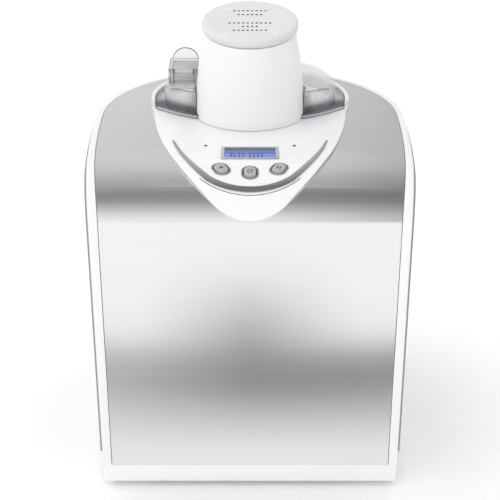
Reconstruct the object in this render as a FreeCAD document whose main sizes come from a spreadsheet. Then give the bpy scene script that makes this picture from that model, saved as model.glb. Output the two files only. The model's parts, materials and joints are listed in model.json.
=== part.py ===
"""Countertop ice cream maker with its own compressor.

X is right, Y is back, Z is up, in millimetres. The origin is on the table,
under the middle of the machine. The steel front faces -Y.
"""
import FreeCAD, Part
import math
import os
import re
import Sketcher

DIMENSIONS = [
    ("body_depth", 310, "front of the control panel to the rounded rear"),
    ("body_half", 134, "half width of the casing, and radius of its rear"),
    ("front_half", 123, "half width of the casing at its front face"),
    ("foot_height", 6, "foot under the base"),
    ("foot_radius", 7.5, "round foot"),
    ("foot_front_x", 93, "front feet from the middle"),
    ("foot_rear_x", 70, "rear feet from the middle"),
    ("foot_front", 18, "front feet from the front"),
    ("foot_rear", 44, "rear feet from the rear"),
    ("base_height", 16, "white apron under the steel"),
    ("base_wall", 3, "wall and floor of the base tray"),
    ("front_height", 250, "steel, from its lower edge to the deck"),
    ("bend_radius", 24, "outer radius of the steel's bend"),
    ("crown_radius", 110, "fall of the deck from the display to the bend"),
    ("crown_angle", 24, "slope in degrees where the fall meets the bend"),
    ("steel_thick", 1, "steel sheet"),
    ("steel_gap", 0.4, "open joint between steel and casing"),
    ("rim_front", 8.5, "white rim beside the steel on the front"),
    ("rim_side", 5, "white rim beside the steel on the deck"),
    ("rim_depth", 5, "depth of the rim before the wall thins"),
    ("casing_wall", 2.5, "casing wall"),
    ("side_bulge", 3, "side panel proud of the casing"),
    ("side_rear", 94, "side panel's rear end ahead of the rear"),
    ("side_margin", 8, "side panel from the casing's front, top and lower edge"),
    ("slot_width", 3, "air slot"),
    ("slot_pitch", 9, "air slots, centre to centre"),
    ("slot_length", 46, "air slot"),
    ("side_slots", 9, "air slots in each side"),
    ("panel_proud", 2, "thickness of the control panel on the steel"),
    ("panel_lean", 45, "lean of the plane of the panel's outline, in degrees"),
    ("shield_tip", 27, "panel's tip below the deck"),
    ("shield_chin_x", 30, "panel's chin from the middle"),
    ("shield_chin", 6, "panel's chin below the deck"),
    ("shield_waist_x", 56, "panel's waist from the middle"),
    ("shield_waist", 48, "panel's waist behind the front"),
    ("shield_top_x", 84, "half of the panel's width where it meets the collar"),
    ("shield_top", 176, "panel's straight top behind the front"),
    ("bowl_rear", 109, "bowl axis ahead of the rear"),
    ("collar_radius", 88, "outside of the lid's collar"),
    ("collar_wall", 3, "collar"),
    ("collar_height", 6, "collar above the panel"),
    ("lid_gap", 0.4, "lid to what is round it"),
    ("lid_wall", 2, "clear lid"),
    ("lid_flange", 3, "lid's flange"),
    ("lid_front", 56, "lid's front edge ahead of the bowl axis"),
    ("lid_arc", 110, "radius of the lid's front edge"),
    ("dome_radius", 76, "lid's dome"),
    ("dome_height", 22, "dome above the flange's underside"),
    ("dome_round", 7, "rounding of the dome's edge"),
    ("hatch_width", 23, "ingredient hatch"),
    ("hatch_length", 30, "ingredient hatch"),
    ("hatch_x", 69.5, "outer edge of the hatch from the middle"),
    ("hatch_back", 8, "hatch behind the bowl axis"),
    ("hatch_rise", 8, "hatch's chute above the dome"),
    ("hatch_thick", 2, "hatch flap"),
    ("hatch_gap", 0.8, "hatch to its opening"),
    ("hatch_tab", 12, "radius of the finger tab"),
    ("pin_radius", 1.2, "hatch hinge pin"),
    ("pin_fit", 0.05, "running fit of pins and shafts"),
    ("motor_forward", 31, "power head's axis ahead of the bowl axis"),
    ("head_radius", 47, "power head at its foot"),
    ("neck_radius", 38.5, "power head under the cap"),
    ("head_height", 75, "power head without its cap, on its axis"),
    ("head_slope", 10, "slope of the cap towards the front, in degrees"),
    ("head_wall", 2.2, "power head shell"),
    ("cap_radius", 41, "vented cap"),
    ("cap_height", 8, "vented cap"),
    ("cap_round", 3, "rounding of the cap's edges"),
    ("cap_sink", 3, "cap's spigot in the power head"),
    ("cap_screw_x", 20.5, "cap screws from the middle"),
    ("cap_screw_rear", 21.5, "rear cap screws behind the middle"),
    ("cap_screw_front", 27, "front cap screws ahead of the middle"),
    ("cap_hole", 1.1, "air hole in the cap"),
    ("cap_hole_pitch", 3.8, "air holes in the cap, across"),
    ("cap_row_pitch", 7, "rows of air holes in the cap"),
    ("cap_screw", 1.8, "screw plugs in the cap"),
    ("bowl_radius", 49, "inside of the bowl"),
    ("bowl_height", 122, "bowl with its rim"),
    ("bowl_wall", 1.2, "bowl"),
    ("bowl_rim", 54, "radius of the bowl's rim"),
    ("rim_thick", 2, "thickness of the bowl's rim"),
    ("bowl_above", 0.5, "bowl's rim above the deck"),
    ("bowl_gap", 1, "bowl to the cold well"),
    ("seal_thick", 1.2, "sealing ring"),
    ("well_wall", 1.5, "cold well"),
    ("well_flange", 62, "radius of the well's flange"),
    ("coil_radius", 3, "evaporator tube"),
    ("coil_pitch", 10, "evaporator turns"),
    ("coil_turns", 8, "evaporator turns"),
    ("foam_thick", 18, "insulation round the well"),
    ("bail_radius", 45.5, "middle of the bowl's handle"),
    ("bail_wire", 1.6, "radius of the handle's wire"),
    ("bail_drop", 7, "handle's pivot below the bowl's rim"),
    ("paddle_radius", 44, "paddle's reach"),
    ("paddle_shaft", 5, "radius of the paddle's shaft"),
    ("paddle_height", 92, "paddle's frame"),
    ("pivot_radius", 3, "bowl's centre pin"),
    ("pivot_height", 9, "bowl's centre pin"),
    ("drive_flats", 8, "hexagon on the paddle's shaft, across its flats"),
    ("drive_gap", 0.3, "hexagon in its socket"),
    ("drive_room", 0.5, "free height over the hexagon in its socket"),
    ("gear_module", 1, "all gears"),
    ("tooth_root", 1.25, "depth of the tooth roots, in modules"),
    ("tooth_tip", 0.8, "height of the tooth tips, in modules"),
    ("tooth_foot", 0.27, "half of a tooth at its root, share of the pitch"),
    ("tooth_crest", 0.1, "half of a tooth at its tip, share of the pitch"),
    ("gear_width", 6, "output gear"),
    ("wheel_width", 4, "idler's large wheel"),
    ("output_teeth", 22, "output gear"),
    ("pinion_teeth", 10, "both pinions"),
    ("wheel_teeth", 32, "idler's large wheel"),
    ("hub_radius", 8, "output gear's hub"),
    ("boss_radius", 3, "idler's boss between its two gears"),
    ("tray_thick", 2.5, "floor of the power head"),
    ("gear_lift", 6.5, "output gear above the power head's foot"),
    ("can_radius", 19, "motor"),
    ("can_height", 40, "motor"),
    ("can_wall", 2, "motor"),
    ("shaft_radius", 1.6, "motor shaft and idler axle"),
    ("cover_thick", 2, "plate over the gears"),
    ("display_width", 46, "display bezel"),
    ("display_length", 27, "display bezel"),
    ("display_depth", 70, "display behind the front"),
    ("window_margin", 2.5, "bezel round the window"),
    ("button_radius", 4.9, "rounded ends of a button"),
    ("button_straight", 2.2, "half of a button's straight sides"),
    ("button_turn", 25, "outer buttons turned in, in degrees"),
    ("press_room", 1, "button's travel and free play"),
    ("button_gap", 0.4, "button in its hole"),
    ("button_proud", 1.6, "button above the panel"),
    ("button_height", 6, "button"),
    ("button_x", 22.5, "outer buttons from the middle"),
    ("button_depth", 40, "outer buttons behind the front"),
    ("middle_depth", 35, "middle button behind the front"),
    ("led_x", 36, "indicators from the middle"),
    ("led_depth", 87, "indicators behind the front"),
    ("led_radius", 1.2, "indicator"),
    ("board_drop", 12, "control board below the panel"),
    ("board_thick", 1.6, "circuit boards"),
    ("trim_height", 0.8, "crescent and bezel above the panel"),
    ("trim_x", 64, "crescent's ends from the middle"),
    ("trim_depth", 101, "crescent's ends behind the front"),
    ("trim_tip", 1.8, "width of the crescent's ends"),
    ("trim_bow_x", 50.5, "middle of the crescent's side arc"),
    ("trim_bow_depth", 54.5, "middle of the crescent's side arc, behind the front"),
    ("trim_bow_in", 3.5, "crescent's inner edge there, nearer to the middle"),
    ("trim_bow_width", 3, "crescent's inner edge there, further back"),
    ("trim_side_x", 33.7, "ends of the crescent's front arc"),
    ("trim_side_depth", 21.5, "ends of the crescent's front arc, behind the front"),
    ("trim_side_in", 3.2, "crescent's inner edge there, nearer to the middle"),
    ("trim_side_width", 6.7, "crescent's inner edge there, further back"),
    ("trim_low", 4.7, "crescent's lowest edge, round the bend"),
    ("trim_width", 8.3, "crescent at its middle"),
    ("plate_lift", 13, "chassis plate above the base"),
    ("plate_thick", 2, "chassis plate"),
    ("grommet_height", 6, "compressor's rubber feet"),
    ("pump_radius", 46, "compressor"),
    ("room_gap", 15, "free height between the machine room and the insulation"),
    ("seam_share", 0.45, "compressor's seam, share of its height"),
    ("round_share", 0.25, "compressor's rounded ends, share of its height"),
    ("shoulder_share", 0.6, "flat of the compressor's ends, share of its radius"),
    ("bulge_share", 0.9, "middle of the compressor's rounded ends, share of its radius"),
    ("pump_x", -60, "compressor"),
    ("fan_rim", 7, "fan frame round the fan"),
    ("fan_x", 66, "plane of the fan"),
    ("fan_forward", 46, "fan axis ahead of the bowl axis"),
    ("fan_plate", 12, "fan frame"),
    ("fan_hub", 12, "fan hub"),
    ("fan_pitch", 32, "twist of the fan blades in degrees"),
    ("fan_blades", 5, "fan blades"),
    ("fan_shaft_share", 1.4, "fan shaft, in thicknesses of the frame"),
    ("fan_motor_radius", 16, "fan motor"),
    ("fan_motor_length", 24, "fan motor"),
    ("fan_strut", 4, "struts of the fan motor"),
    ("fan_gap", 2, "fan in its ring"),
    ("condenser_thick", 22, "condenser"),
    ("condenser_width", 100, "condenser"),
    ("fin_pitch", 6, "condenser fins"),
    ("fin_gap", 4, "air between the condenser fins"),
    ("fin_core", 4, "condenser tubes between the fins"),
    ("drier_radius", 8, "filter drier"),
    ("drier_length", 58, "filter drier"),
    ("drier_lift", 22, "filter drier above the chassis plate"),
    ("drier_gap", 12, "filter drier ahead of the condenser"),
    ("suction_back", 80, "suction tube behind the bowl axis"),
    ("suction_out", 21.6, "suction tube's run beside the compressor"),
    ("relay_thick", 12, "start relay"),
    ("relay_width", 30, "start relay"),
    ("relay_lift", 10, "start relay above the compressor's foot"),
    ("relay_gap", 3, "start relay below the compressor's seam"),
    ("supply_width", 80, "supply board"),
    ("supply_height", 70, "supply board"),
    ("supply_x", -60, "supply board"),
    ("supply_depth", 44, "supply board behind the front"),
    ("screw_radius", 2, "chassis screws"),
    ("screw_head", 4, "chassis screws"),
    ("tube_radius", 2.5, "refrigerant tubes"),
    ("tube_bend", 9, "bends of the refrigerant tubes"),
    ("grille_width", 110, "rear grille"),
    ("grille_height", 84, "rear grille"),
    ("grille_z", 66, "lower edge of the rear grille"),
    ("grille_slots", 11, "slots in the rear grille"),
    ("inlet_width", 28, "power inlet"),
    ("inlet_height", 20, "power inlet"),
    ("inlet_depth", 22, "power inlet"),
    ("inlet_z", 30, "lower edge of the power inlet"),
    ("inlet_pins", 3, "pins of the power inlet"),
]

doc = FreeCAD.newDocument("ice_cream_maker")
sheet = doc.addObject("Spreadsheet::Sheet", "dims")
for row, (alias, number, note) in enumerate(DIMENSIONS, 1):
    sheet.set("A%d" % row, note)
    sheet.set("B%d" % row, str(number))
    sheet.setAlias("B%d" % row, alias)
doc.recompute()
ALIASES = {alias for alias, number, note in DIMENSIONS}

# Heights and places that several pieces share, as expressions over the sheet
FRONT = "(panel_proud - body_depth / 2)"
ARC_Y = "(body_depth / 2 - body_half)"
BASE_TOP = "(foot_height + base_height)"
DECK = "(foot_height + base_height + front_height)"
PANEL = "(%s + panel_proud)" % DECK
BOWL_Y = "(body_depth / 2 - bowl_rear)"
MOTOR_Y = "(%s - motor_forward)" % BOWL_Y
BOWL_TOP = "(%s + bowl_above)" % DECK
BOWL_FLOOR = "(%s - bowl_height)" % BOWL_TOP
WELL_TOP = "(%s - rim_thick - seal_thick)" % BOWL_TOP
WELL_RADIUS = "(bowl_radius + bowl_wall + bowl_gap)"
WELL_FLOOR = "(%s - bowl_gap - well_wall)" % BOWL_FLOOR
WELL_OUTER = "(%s + well_wall)" % WELL_RADIUS
COIL_RADIUS = "(%s + coil_radius + pin_fit)" % WELL_OUTER
COIL_FOOT = "(%s + 3 * coil_radius)" % WELL_FLOOR
COIL_TOP = "(%s + coil_turns * coil_pitch)" % COIL_FOOT
FOAM_RADIUS = "(%s + coil_radius + lid_gap)" % COIL_RADIUS
LID_FOOT = "(%s + lid_gap)" % PANEL
LID_RADIUS = "(collar_radius - collar_wall - lid_gap)"
HEAD_TOP = "(%s + head_height)" % LID_FOOT
GEAR_FOOT = "(%s + gear_lift)" % LID_FOOT
WHEEL_FOOT = "(%s + gear_width + lid_gap)" % GEAR_FOOT
COVER_FOOT = "(%s + wheel_width + 2 * lid_gap)" % WHEEL_FOOT
CAN_FOOT = "(%s + cover_thick)" % COVER_FOOT
PLATE_TOP = "(foot_height + plate_lift + plate_thick)"
PUMP_FOOT = "(%s + grommet_height)" % PLATE_TOP
ROOM = "(%s - foam_thick - room_gap - %s)" % (WELL_FLOOR, PLATE_TOP)
PUMP_HEIGHT = "(%s - grommet_height)" % ROOM
FAN_Z = "(%s + %s / 2)" % (PLATE_TOP, ROOM)
FAN_Y = "(%s - fan_forward)" % BOWL_Y
FAN_RADIUS = "(%s / 2 - fan_rim)" % ROOM
CROWN_DEPTH = "(bend_radius + (crown_radius - bend_radius) * sin(crown_angle))"
BEND_DROP = "(crown_radius - (crown_radius - bend_radius) * cos(crown_angle))"
WIDE = "3 * body_half"
GROUND = FreeCAD.Vector(0, 0, 0)


def bind(text):
    """Point each sheet name in an expression at the sheet."""
    def named(match):
        word = match.group()
        return "dims." + word if word in ALIASES else word
    return re.sub(r"[a-z_][a-z_0-9]*", named, text)


def sized(text):
    """Value of an expression over the sheet, for geometry that code has to work out."""
    return float(sheet.evalExpression(bind(text)))


def point(across, along, up):
    return FreeCAD.Vector(sized(across), sized(along), sized(up))


def place(item, across="0", along="0", up="0", axis=None, angle=0):
    """Turn an object, then bind where it stands."""
    if axis:
        item.Placement = FreeCAD.Placement(GROUND, FreeCAD.Rotation(FreeCAD.Vector(*axis), angle))
    for letter, text in zip("xyz", (across, along, up)):
        item.setExpression("Placement.Base." + letter, bind(text))
    return item


def box(name, length, width, height, across, along, up):
    """Box centred on its place in plan, standing at its height."""
    item = doc.addObject("Part::Box", name)
    for side, text in (("Length", length), ("Width", width), ("Height", height)):
        item.setExpression(side, bind(text))
    return place(item, "%s - (%s) / 2" % (across, length), "%s - (%s) / 2" % (along, width), up)


def cylinder(name, radius, height, across, along, up, axis=None, angle=0):
    item = doc.addObject("Part::Cylinder", name)
    item.setExpression("Radius", bind(radius))
    item.setExpression("Height", bind(height))
    return place(item, across, along, up, axis, angle)


def joined(name, items):
    item = doc.addObject("Part::MultiFuse", name)
    item.Shapes = items
    return item


def grouped(name, items):
    item = doc.addObject("Part::Compound", name)
    item.Links = items
    return item


def less(name, base, tool):
    item = doc.addObject("Part::Cut", name)
    item.Base = base
    item.Tool = tool
    return item


def shared(name, first, second):
    item = doc.addObject("Part::MultiCommon", name)
    item.Shapes = [first, second]
    return item


def draw(sketch, outline):
    """Closed outline: (x, y) starts a straight side, (x, y, mid x, mid y) an arc through its middle."""
    corners = [FreeCAD.Vector(sized(corner[0]), sized(corner[1]), 0) for corner in outline]
    ends = []
    for index, corner in enumerate(outline):
        start, stop = corners[index], corners[(index + 1) % len(corners)]
        if len(corner) == 2:
            side = sketch.addGeometry(Part.LineSegment(start, stop), False)
            ends.append((side, 1, 2))
            continue
        middle = FreeCAD.Vector(sized(corner[2]), sized(corner[3]), 0)
        turn = (middle - start).cross(stop - middle).z
        arc = Part.Arc(start, middle, stop) if turn > 0 else Part.Arc(stop, middle, start)
        side = sketch.addGeometry(arc, False)
        ends.append((side, 1, 2) if turn > 0 else (side, 2, 1))
        marker = sketch.addGeometry(Part.Point(middle), True)
        pin(sketch, marker, 1, corner[2], corner[3])
        sketch.addConstraint(Sketcher.Constraint("PointOnObject", marker, 1, side))
    for index, corner in enumerate(outline):
        side, first, last = ends[index]
        following, start, stop = ends[(index + 1) % len(ends)]
        sketch.addConstraint(Sketcher.Constraint("Coincident", side, last, following, start))
        pin(sketch, side, first, corner[0], corner[1])


def pin(sketch, side, end, across, up):
    """Tie one point of a sketch to the sheet."""
    for kind, text in (("DistanceX", across), ("DistanceY", up)):
        number = sketch.addConstraint(Sketcher.Constraint(kind, -1, 1, side, end, sized(text)))
        sketch.setExpression("Constraints[%d]" % number, bind(text))


def sketched(name, plane, outline, offset="0"):
    body = doc.addObject("PartDesign::Body", name)
    sketch = body.newObject("Sketcher::SketchObject", name + "_outline")
    support = [item for item in body.Origin.OriginFeatures if item.Role == plane]
    sketch.AttachmentSupport = [(support[0], "")]
    sketch.MapMode = "FlatFace"
    sketch.setExpression("AttachmentOffset.Base.z", bind(offset))
    draw(sketch, outline)
    return body, sketch


def prism(name, outline, bottom, height):
    """Plan outline raised from one height."""
    body, sketch = sketched(name, "XY_Plane", outline, bottom)
    pad = body.newObject("PartDesign::Pad", name + "_pad")
    pad.Profile = sketch
    pad.setExpression("Length", bind(height))
    return body


def across_body(name, outline, width):
    """Side profile (y, z) carried across the machine, half to each side."""
    body, sketch = sketched(name, "YZ_Plane", outline)
    pad = body.newObject("PartDesign::Pad", name + "_pad")
    pad.Profile = sketch
    pad.setExpression("Length", bind(width))
    pad.Midplane = True
    return body


def turned(name, outline, along="0", across="0"):
    """Profile (radius, z) turned round an upright axis."""
    body, sketch = sketched(name, "XZ_Plane", outline)
    turn = body.newObject("PartDesign::Revolution", name + "_turn")
    turn.Profile = sketch
    turn.ReferenceAxis = (sketch, ["V_Axis"])
    turn.Angle = 360
    return place(body, across, along)


def made(name, shape, spot=GROUND):
    """Piece whose shape is worked out in code, round its own origin."""
    item = doc.addObject("Part::Feature", name)
    item.Shape = shape
    item.Placement = FreeCAD.Placement(spot, FreeCAD.Rotation())


def plan(front_half, half, front):
    """Plan of the body: straight front, bowed sides, half round rear."""
    bow = "(%s) - ((%s) - (%s)) / 4" % (half, half, front_half)
    middle = "((%s) + %s) / 2" % (front, ARC_Y)
    return [("-(%s)" % front_half, front),
            (front_half, front, bow, middle),
            (half, ARC_Y, "0", "%s + (%s)" % (ARC_Y, half)),
            ("-(%s)" % half, ARC_Y, "-(%s)" % bow, middle)]


def bent(skin, foot, rear):
    """Side profile grown by a skin: rear, deck, its fall, the bend, and the front down to a foot."""
    crown, bend = "(crown_radius + (%s))" % skin, "(bend_radius + (%s))" % skin
    crown_y, bend_y = "(%s + %s)" % (FRONT, CROWN_DEPTH), "(%s + bend_radius)" % FRONT
    crown_z, bend_z = "(%s - crown_radius)" % DECK, "(%s - %s)" % (DECK, BEND_DROP)

    def on(centre_y, centre_z, radius, angle):
        along = "%s - %s * sin(%s)" % (centre_y, radius, angle)
        return along, "%s + %s * cos(%s)" % (centre_z, radius, angle)
    top = "%s + (%s)" % (DECK, skin)
    return [(rear, top), (crown_y, top) + on(crown_y, crown_z, crown, "crown_angle / 2"),
            on(bend_y, bend_z, bend, "crown_angle") + on(bend_y, bend_z, bend, "(crown_angle + 90) / 2"),
            ("%s - (%s)" % (FRONT, skin), bend_z), ("%s - (%s)" % (FRONT, skin), foot)]


def bent_solid(name, skin, foot, width):
    rear = "body_depth / 2 + body_half"
    return across_body(name, bent(skin, foot, rear) + [(rear, foot)], width)


def bent_layer(name, inside, outside, foot, rear):
    """Sheet that follows the deck, its fall, the bend and the front."""
    inner = bent(inside, foot, rear)
    inner.reverse()
    starts = [corner[:2] for corner in inner]
    middles = [corner[2:] for corner in inner[1:]] + [()]
    back = [start + middle for start, middle in zip(starts, middles)]
    return across_body(name, bent(outside, foot, rear) + back, WIDE)


def base():
    outer = prism("base_outer", plan("front_half - steel_gap", "body_half - steel_gap", FRONT), "foot_height",
                  "base_height")
    floor = "foot_height + base_wall"
    inner_plan = plan("front_half - base_wall", "body_half - base_wall", FRONT + " + base_wall")
    inner = prism("base_inner", inner_plan, floor, "base_height")
    posts, bores, feet, screws = [], [], [], []
    rear_line, front_line = "body_depth / 2 - foot_rear", FRONT + " + foot_front"
    spots = (("-foot_front_x", front_line), ("foot_front_x", front_line),
             ("-foot_rear_x", rear_line), ("foot_rear_x", rear_line))
    rise = "plate_lift - base_wall"
    for number, spot in enumerate(spots):
        posts.append(cylinder("post_%d" % number, "foot_radius", rise, *spot, floor))
        feet.append(cylinder("foot_%d" % number, "foot_radius", "foot_height", *spot, "0"))
        bores.append(cylinder("bore_%d" % number, "screw_radius", rise + " + 2 * plate_thick", *spot, floor))
        head = cylinder("screw_head_%d" % number, "screw_head", "plate_thick", *spot, PLATE_TOP)
        shank = cylinder("screw_shank_%d" % number, "screw_radius", rise + " + plate_thick", *spot, floor)
        screws.append(joined("screw_%d" % number, [head, shank]))
    bore = joined("screw_bores", bores)
    less("base_tray", joined("base_whole", [less("base_shell", outer, inner)] + posts), bore)
    grouped("feet", feet)
    grouped("chassis_screws", screws)
    deck = prism("plate_blank", plan("front_half - 2 * base_wall", "body_half - 2 * base_wall",
                                     FRONT + " + 2 * base_wall"), "foot_height + plate_lift", "plate_thick")
    less("chassis_plate", deck, bore)


def side_slots(name, side):
    """Row of upright air slots through one side wall."""
    slots = []
    for number in range(int(sized("side_slots"))):
        along = "%s + (%d - (side_slots - 1) / 2) * slot_pitch" % (FAN_Y, number)
        slots.append(box("%s_%d" % (name, number), "body_half", "slot_width", "slot_length",
                         "%d * body_half" % side, along, FAN_Z + " - slot_length / 2"))
    return joined(name, slots)


def grille_window(name, gap):
    return box(name, "grille_width + 2 * (%s)" % gap, "2 * body_half", "grille_height + 2 * (%s)" % gap, "0",
               "body_depth / 2", "grille_z - (%s)" % gap)


def casing():
    height = "front_height"
    outer = prism("casing_outer", plan("front_half", "body_half", FRONT), BASE_TOP, height)
    rounded = shared("casing_round", outer, bent_solid("casing_profile", "0", BASE_TOP, WIDE))
    window = plan("front_half - rim_front", "body_half - rim_side", FRONT + " - rim_front")
    opening = prism("steel_opening", window, BASE_TOP + " - rim_depth", height + " + 2 * rim_depth")
    hollow = prism("casing_hollow", plan("front_half - casing_wall", "body_half - casing_wall",
                                         FRONT + " + rim_depth"), BASE_TOP + " - rim_depth", height)
    inlet = box("inlet_window", "inlet_width", "body_half", "inlet_height", "0", "body_depth / 2", "inlet_z")
    inside = shared("casing_inside", hollow, bent_solid("casing_bend", "-rim_depth", "0", WIDE))
    cuts = [opening, inside, grille_window("grille_hole", "0"), inlet]
    cuts += [side_slots("casing_slots_left", -1), side_slots("casing_slots_right", 1)]
    less("casing_shell", rounded, joined("casing_cuts", cuts))


def steel():
    sheet_metal = bent_layer("steel_sheet", "-steel_thick", "0", BASE_TOP, "body_depth / 2")
    edge = prism("steel_edge", plan("front_half - rim_front - steel_gap", "body_half - rim_side - steel_gap",
                                    FRONT + " - rim_front"), "foot_height", "2 * front_height")
    middle = DECK + " - front_height / 2"
    well = cylinder("steel_well_hole", "well_flange + steel_gap", "front_height", "0", BOWL_Y, middle)
    controls = box("steel_control_hole", "2 * button_x + 7 * button_radius",
                   "led_depth - middle_depth + 5 * button_radius", "front_height", "0",
                   FRONT + " + (led_depth + middle_depth) / 2", middle)
    less("front_panel", shared("steel_trimmed", sheet_metal, edge), joined("steel_holes", [well, controls]))


def side_panels():
    bulged = plan("front_half + side_bulge / 2", "body_half + side_bulge", FRONT)
    proud = prism("side_outer", bulged, BASE_TOP, "front_height")
    edge = bent_solid("side_edge", "-side_margin", BASE_TOP + " + side_margin", WIDE)
    outer = shared("side_profile", proud, edge)
    inner = prism("side_inner", plan("front_half", "body_half", FRONT), BASE_TOP, "front_height")
    reach = "(body_depth - panel_proud - side_rear)"
    for label, side in (("side_panel_left", -1), ("side_panel_right", 1)):
        zone = box(label + "_zone", "2 * body_half", reach, "2 * front_height", "%d * body_half" % side,
                   "%s + (%s) / 2" % (FRONT, reach), "0")
        trimmed = less(label + "_bare", shared(label + "_strip", zone, outer), inner)
        less(label, trimmed, side_slots(label + "_slots", side))


def rear_grille():
    outer = prism("grille_outer", plan("front_half", "body_half", FRONT), "grille_z", "grille_height")
    inner_plan = plan("front_half - casing_wall", "body_half - casing_wall", FRONT)
    ring = less("grille_ring", outer, prism("grille_inner", inner_plan, "0", DECK))
    plate = shared("grille_plate", ring, grille_window("grille_zone", "-steel_gap"))
    slots = []
    for number in range(int(sized("grille_slots"))):
        across = "(%d - (grille_slots - 1) / 2) * slot_pitch" % number
        slots.append(box("grille_slot_%d" % number, "slot_width", "2 * slot_length",
                         "grille_height - 2 * slot_pitch", across, "body_depth / 2", "grille_z + slot_pitch"))
    less("rear_grille", plate, joined("grille_slots_cut", slots))


def power_inlet():
    shell = box("inlet_shell", "inlet_width - 2 * steel_gap", "inlet_depth", "inlet_height - 2 * steel_gap",
                "0", "body_depth / 2 - casing_wall / 2 - inlet_depth / 2", "inlet_z + steel_gap")
    mouth = box("inlet_mouth", "inlet_width - 4 * casing_wall", "inlet_depth",
                "inlet_height - 4 * casing_wall", "0", "body_depth / 2 - casing_wall",
                "inlet_z + 2 * casing_wall")
    pins = []
    for number in range(int(sized("inlet_pins"))):
        across = "(%d - (inlet_pins - 1) / 2) * inlet_width / (2 * inlet_pins)" % number
        pins.append(box("inlet_pin_%d" % number, "board_thick", "inlet_depth - 2 * casing_wall",
                        "2 * board_thick", across, "body_depth / 2 - inlet_depth / 2",
                        "inlet_z + inlet_height / 2 - board_thick"))
    joined("power_inlet", [less("inlet_body", shell, mouth)] + pins)


LEAN = "* cos(panel_lean)"


def leaning_plan(name, outline):
    """Outline on the leaning plane, carried square through the bend so that it runs down over it."""
    body, sketch = sketched(name, "XY_Plane", outline)
    pad = body.newObject("PartDesign::Pad", name + "_pad")
    pad.Profile = sketch
    pad.setExpression("Length", bind("2 * body_depth"))
    pad.Midplane = True
    return place(body, "0", FRONT, DECK, (1, 0, 0), sized("panel_lean"))


def panel_plan(name):
    chin, waist = "-shield_chin " + LEAN, "shield_waist " + LEAN
    top = "shield_top " + LEAN
    return leaning_plan(name, [("-shield_chin_x", chin, "0", "-shield_tip " + LEAN),
                               ("shield_chin_x", chin, "shield_waist_x", waist),
                               ("shield_top_x", top),
                               ("-shield_top_x", top, "-shield_waist_x", waist)])


def bent_skin(name, inside, outside):
    """Part of such a sheet behind the controls, on the upper front."""
    return bent_layer(name, inside, outside, DECK + " - 2 * shield_tip", "%s + collar_radius" % BOWL_Y)


BUTTONS = (("button_left", -1, "button_depth"), ("button_middle", 0, "middle_depth"),
           ("button_right", 1, "button_depth"))


def slope(depth):
    """Sine and cosine of the panel's slope at a depth behind the front."""
    sine = "((%s - %s) / (crown_radius + panel_proud))" % (CROWN_DEPTH, depth)
    return sine, "sqrt(1 - %s^2)" % sine


def panel_height(depth, lift):
    """Height of a point that stands off the falling panel along its normal."""
    sine, cosine = slope(depth)
    return "%s - (crown_radius + panel_proud) * (1 - %s) + (%s) * %s" % (PANEL, cosine, lift, cosine)


def button_block(name, side, depth, gap, lift, height):
    """Oval block square to the falling panel."""
    radius = "(button_radius + (%s))" % gap
    end = "(button_straight + %s)" % radius
    outline = [(radius, "-button_straight"), (radius, "button_straight", "0", end),
               ("-" + radius, "button_straight"), ("-" + radius, "-button_straight", "0", "-" + end)]
    item = prism(name, outline, "0", height)
    sine, cosine = slope(depth)
    lean = FreeCAD.Rotation(FreeCAD.Vector(1, 0, 0), math.degrees(math.asin(sized(sine))))
    turn = FreeCAD.Rotation(FreeCAD.Vector(0, 0, 1), -side * sized("button_turn"))
    item.Placement = FreeCAD.Placement(GROUND, lean * turn)
    along = "%s + %s - (%s) * %s" % (FRONT, depth, lift, sine)
    return place(item, "(%d) * button_x" % side, along, panel_height(depth, lift))


def display_block(name, margin, height, up):
    """Block on the display's place, inside its outline by a margin."""
    return box(name, "display_width - 2 * (%s)" % margin, "display_length - 2 * (%s)" % margin, height, "0",
               FRONT + " + display_depth", up)


def collar():
    height = "panel_proud + collar_height"
    outer = cylinder("collar_outer", "collar_radius", height, "0", BOWL_Y, DECK)
    inner = cylinder("collar_inner", "collar_radius - collar_wall", "4 * collar_height", "0", BOWL_Y, DECK)
    notch = box("collar_notch", "2 * collar_radius", "collar_radius", "2 * collar_height", "0",
                "%s - lid_front / 4 - collar_radius / 2" % BOWL_Y, PANEL)
    return less("collar_open", less("panel_collar", outer, inner), notch)


def control_panel():
    shield = shared("panel_shield", bent_skin("panel_skin", "0", "panel_proud"), panel_plan("panel_outline"))
    disc = cylinder("panel_disc", "collar_radius", "panel_proud", "0", BOWL_Y, DECK)
    skirt = cylinder("panel_skirt", "well_flange", "%s - %s" % (DECK, WELL_TOP), "0", BOWL_Y, WELL_TOP)
    whole = joined("panel_whole", [shield, disc, collar(), skirt])
    under, through = DECK + " - panel_proud", "4 * panel_proud"
    holes = [cylinder("bowl_hole", "bowl_rim + bowl_gap", "4 * shield_tip", "0", BOWL_Y,
                      DECK + " - 2 * shield_tip")]
    holes.append(display_block("display_hole", "window_margin", through, under))
    for label, side, depth in BUTTONS:
        holes.append(button_block(label + "_hole", side, depth, "button_gap", "-2 * panel_proud", through))
    for number, side in enumerate((-1, 1)):
        holes.append(cylinder("led_hole_%d" % number, "led_radius", through, "%d * led_x" % side,
                              FRONT + " + led_depth", under))
    less("control_panel", whole, joined("panel_holes", holes))


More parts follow.
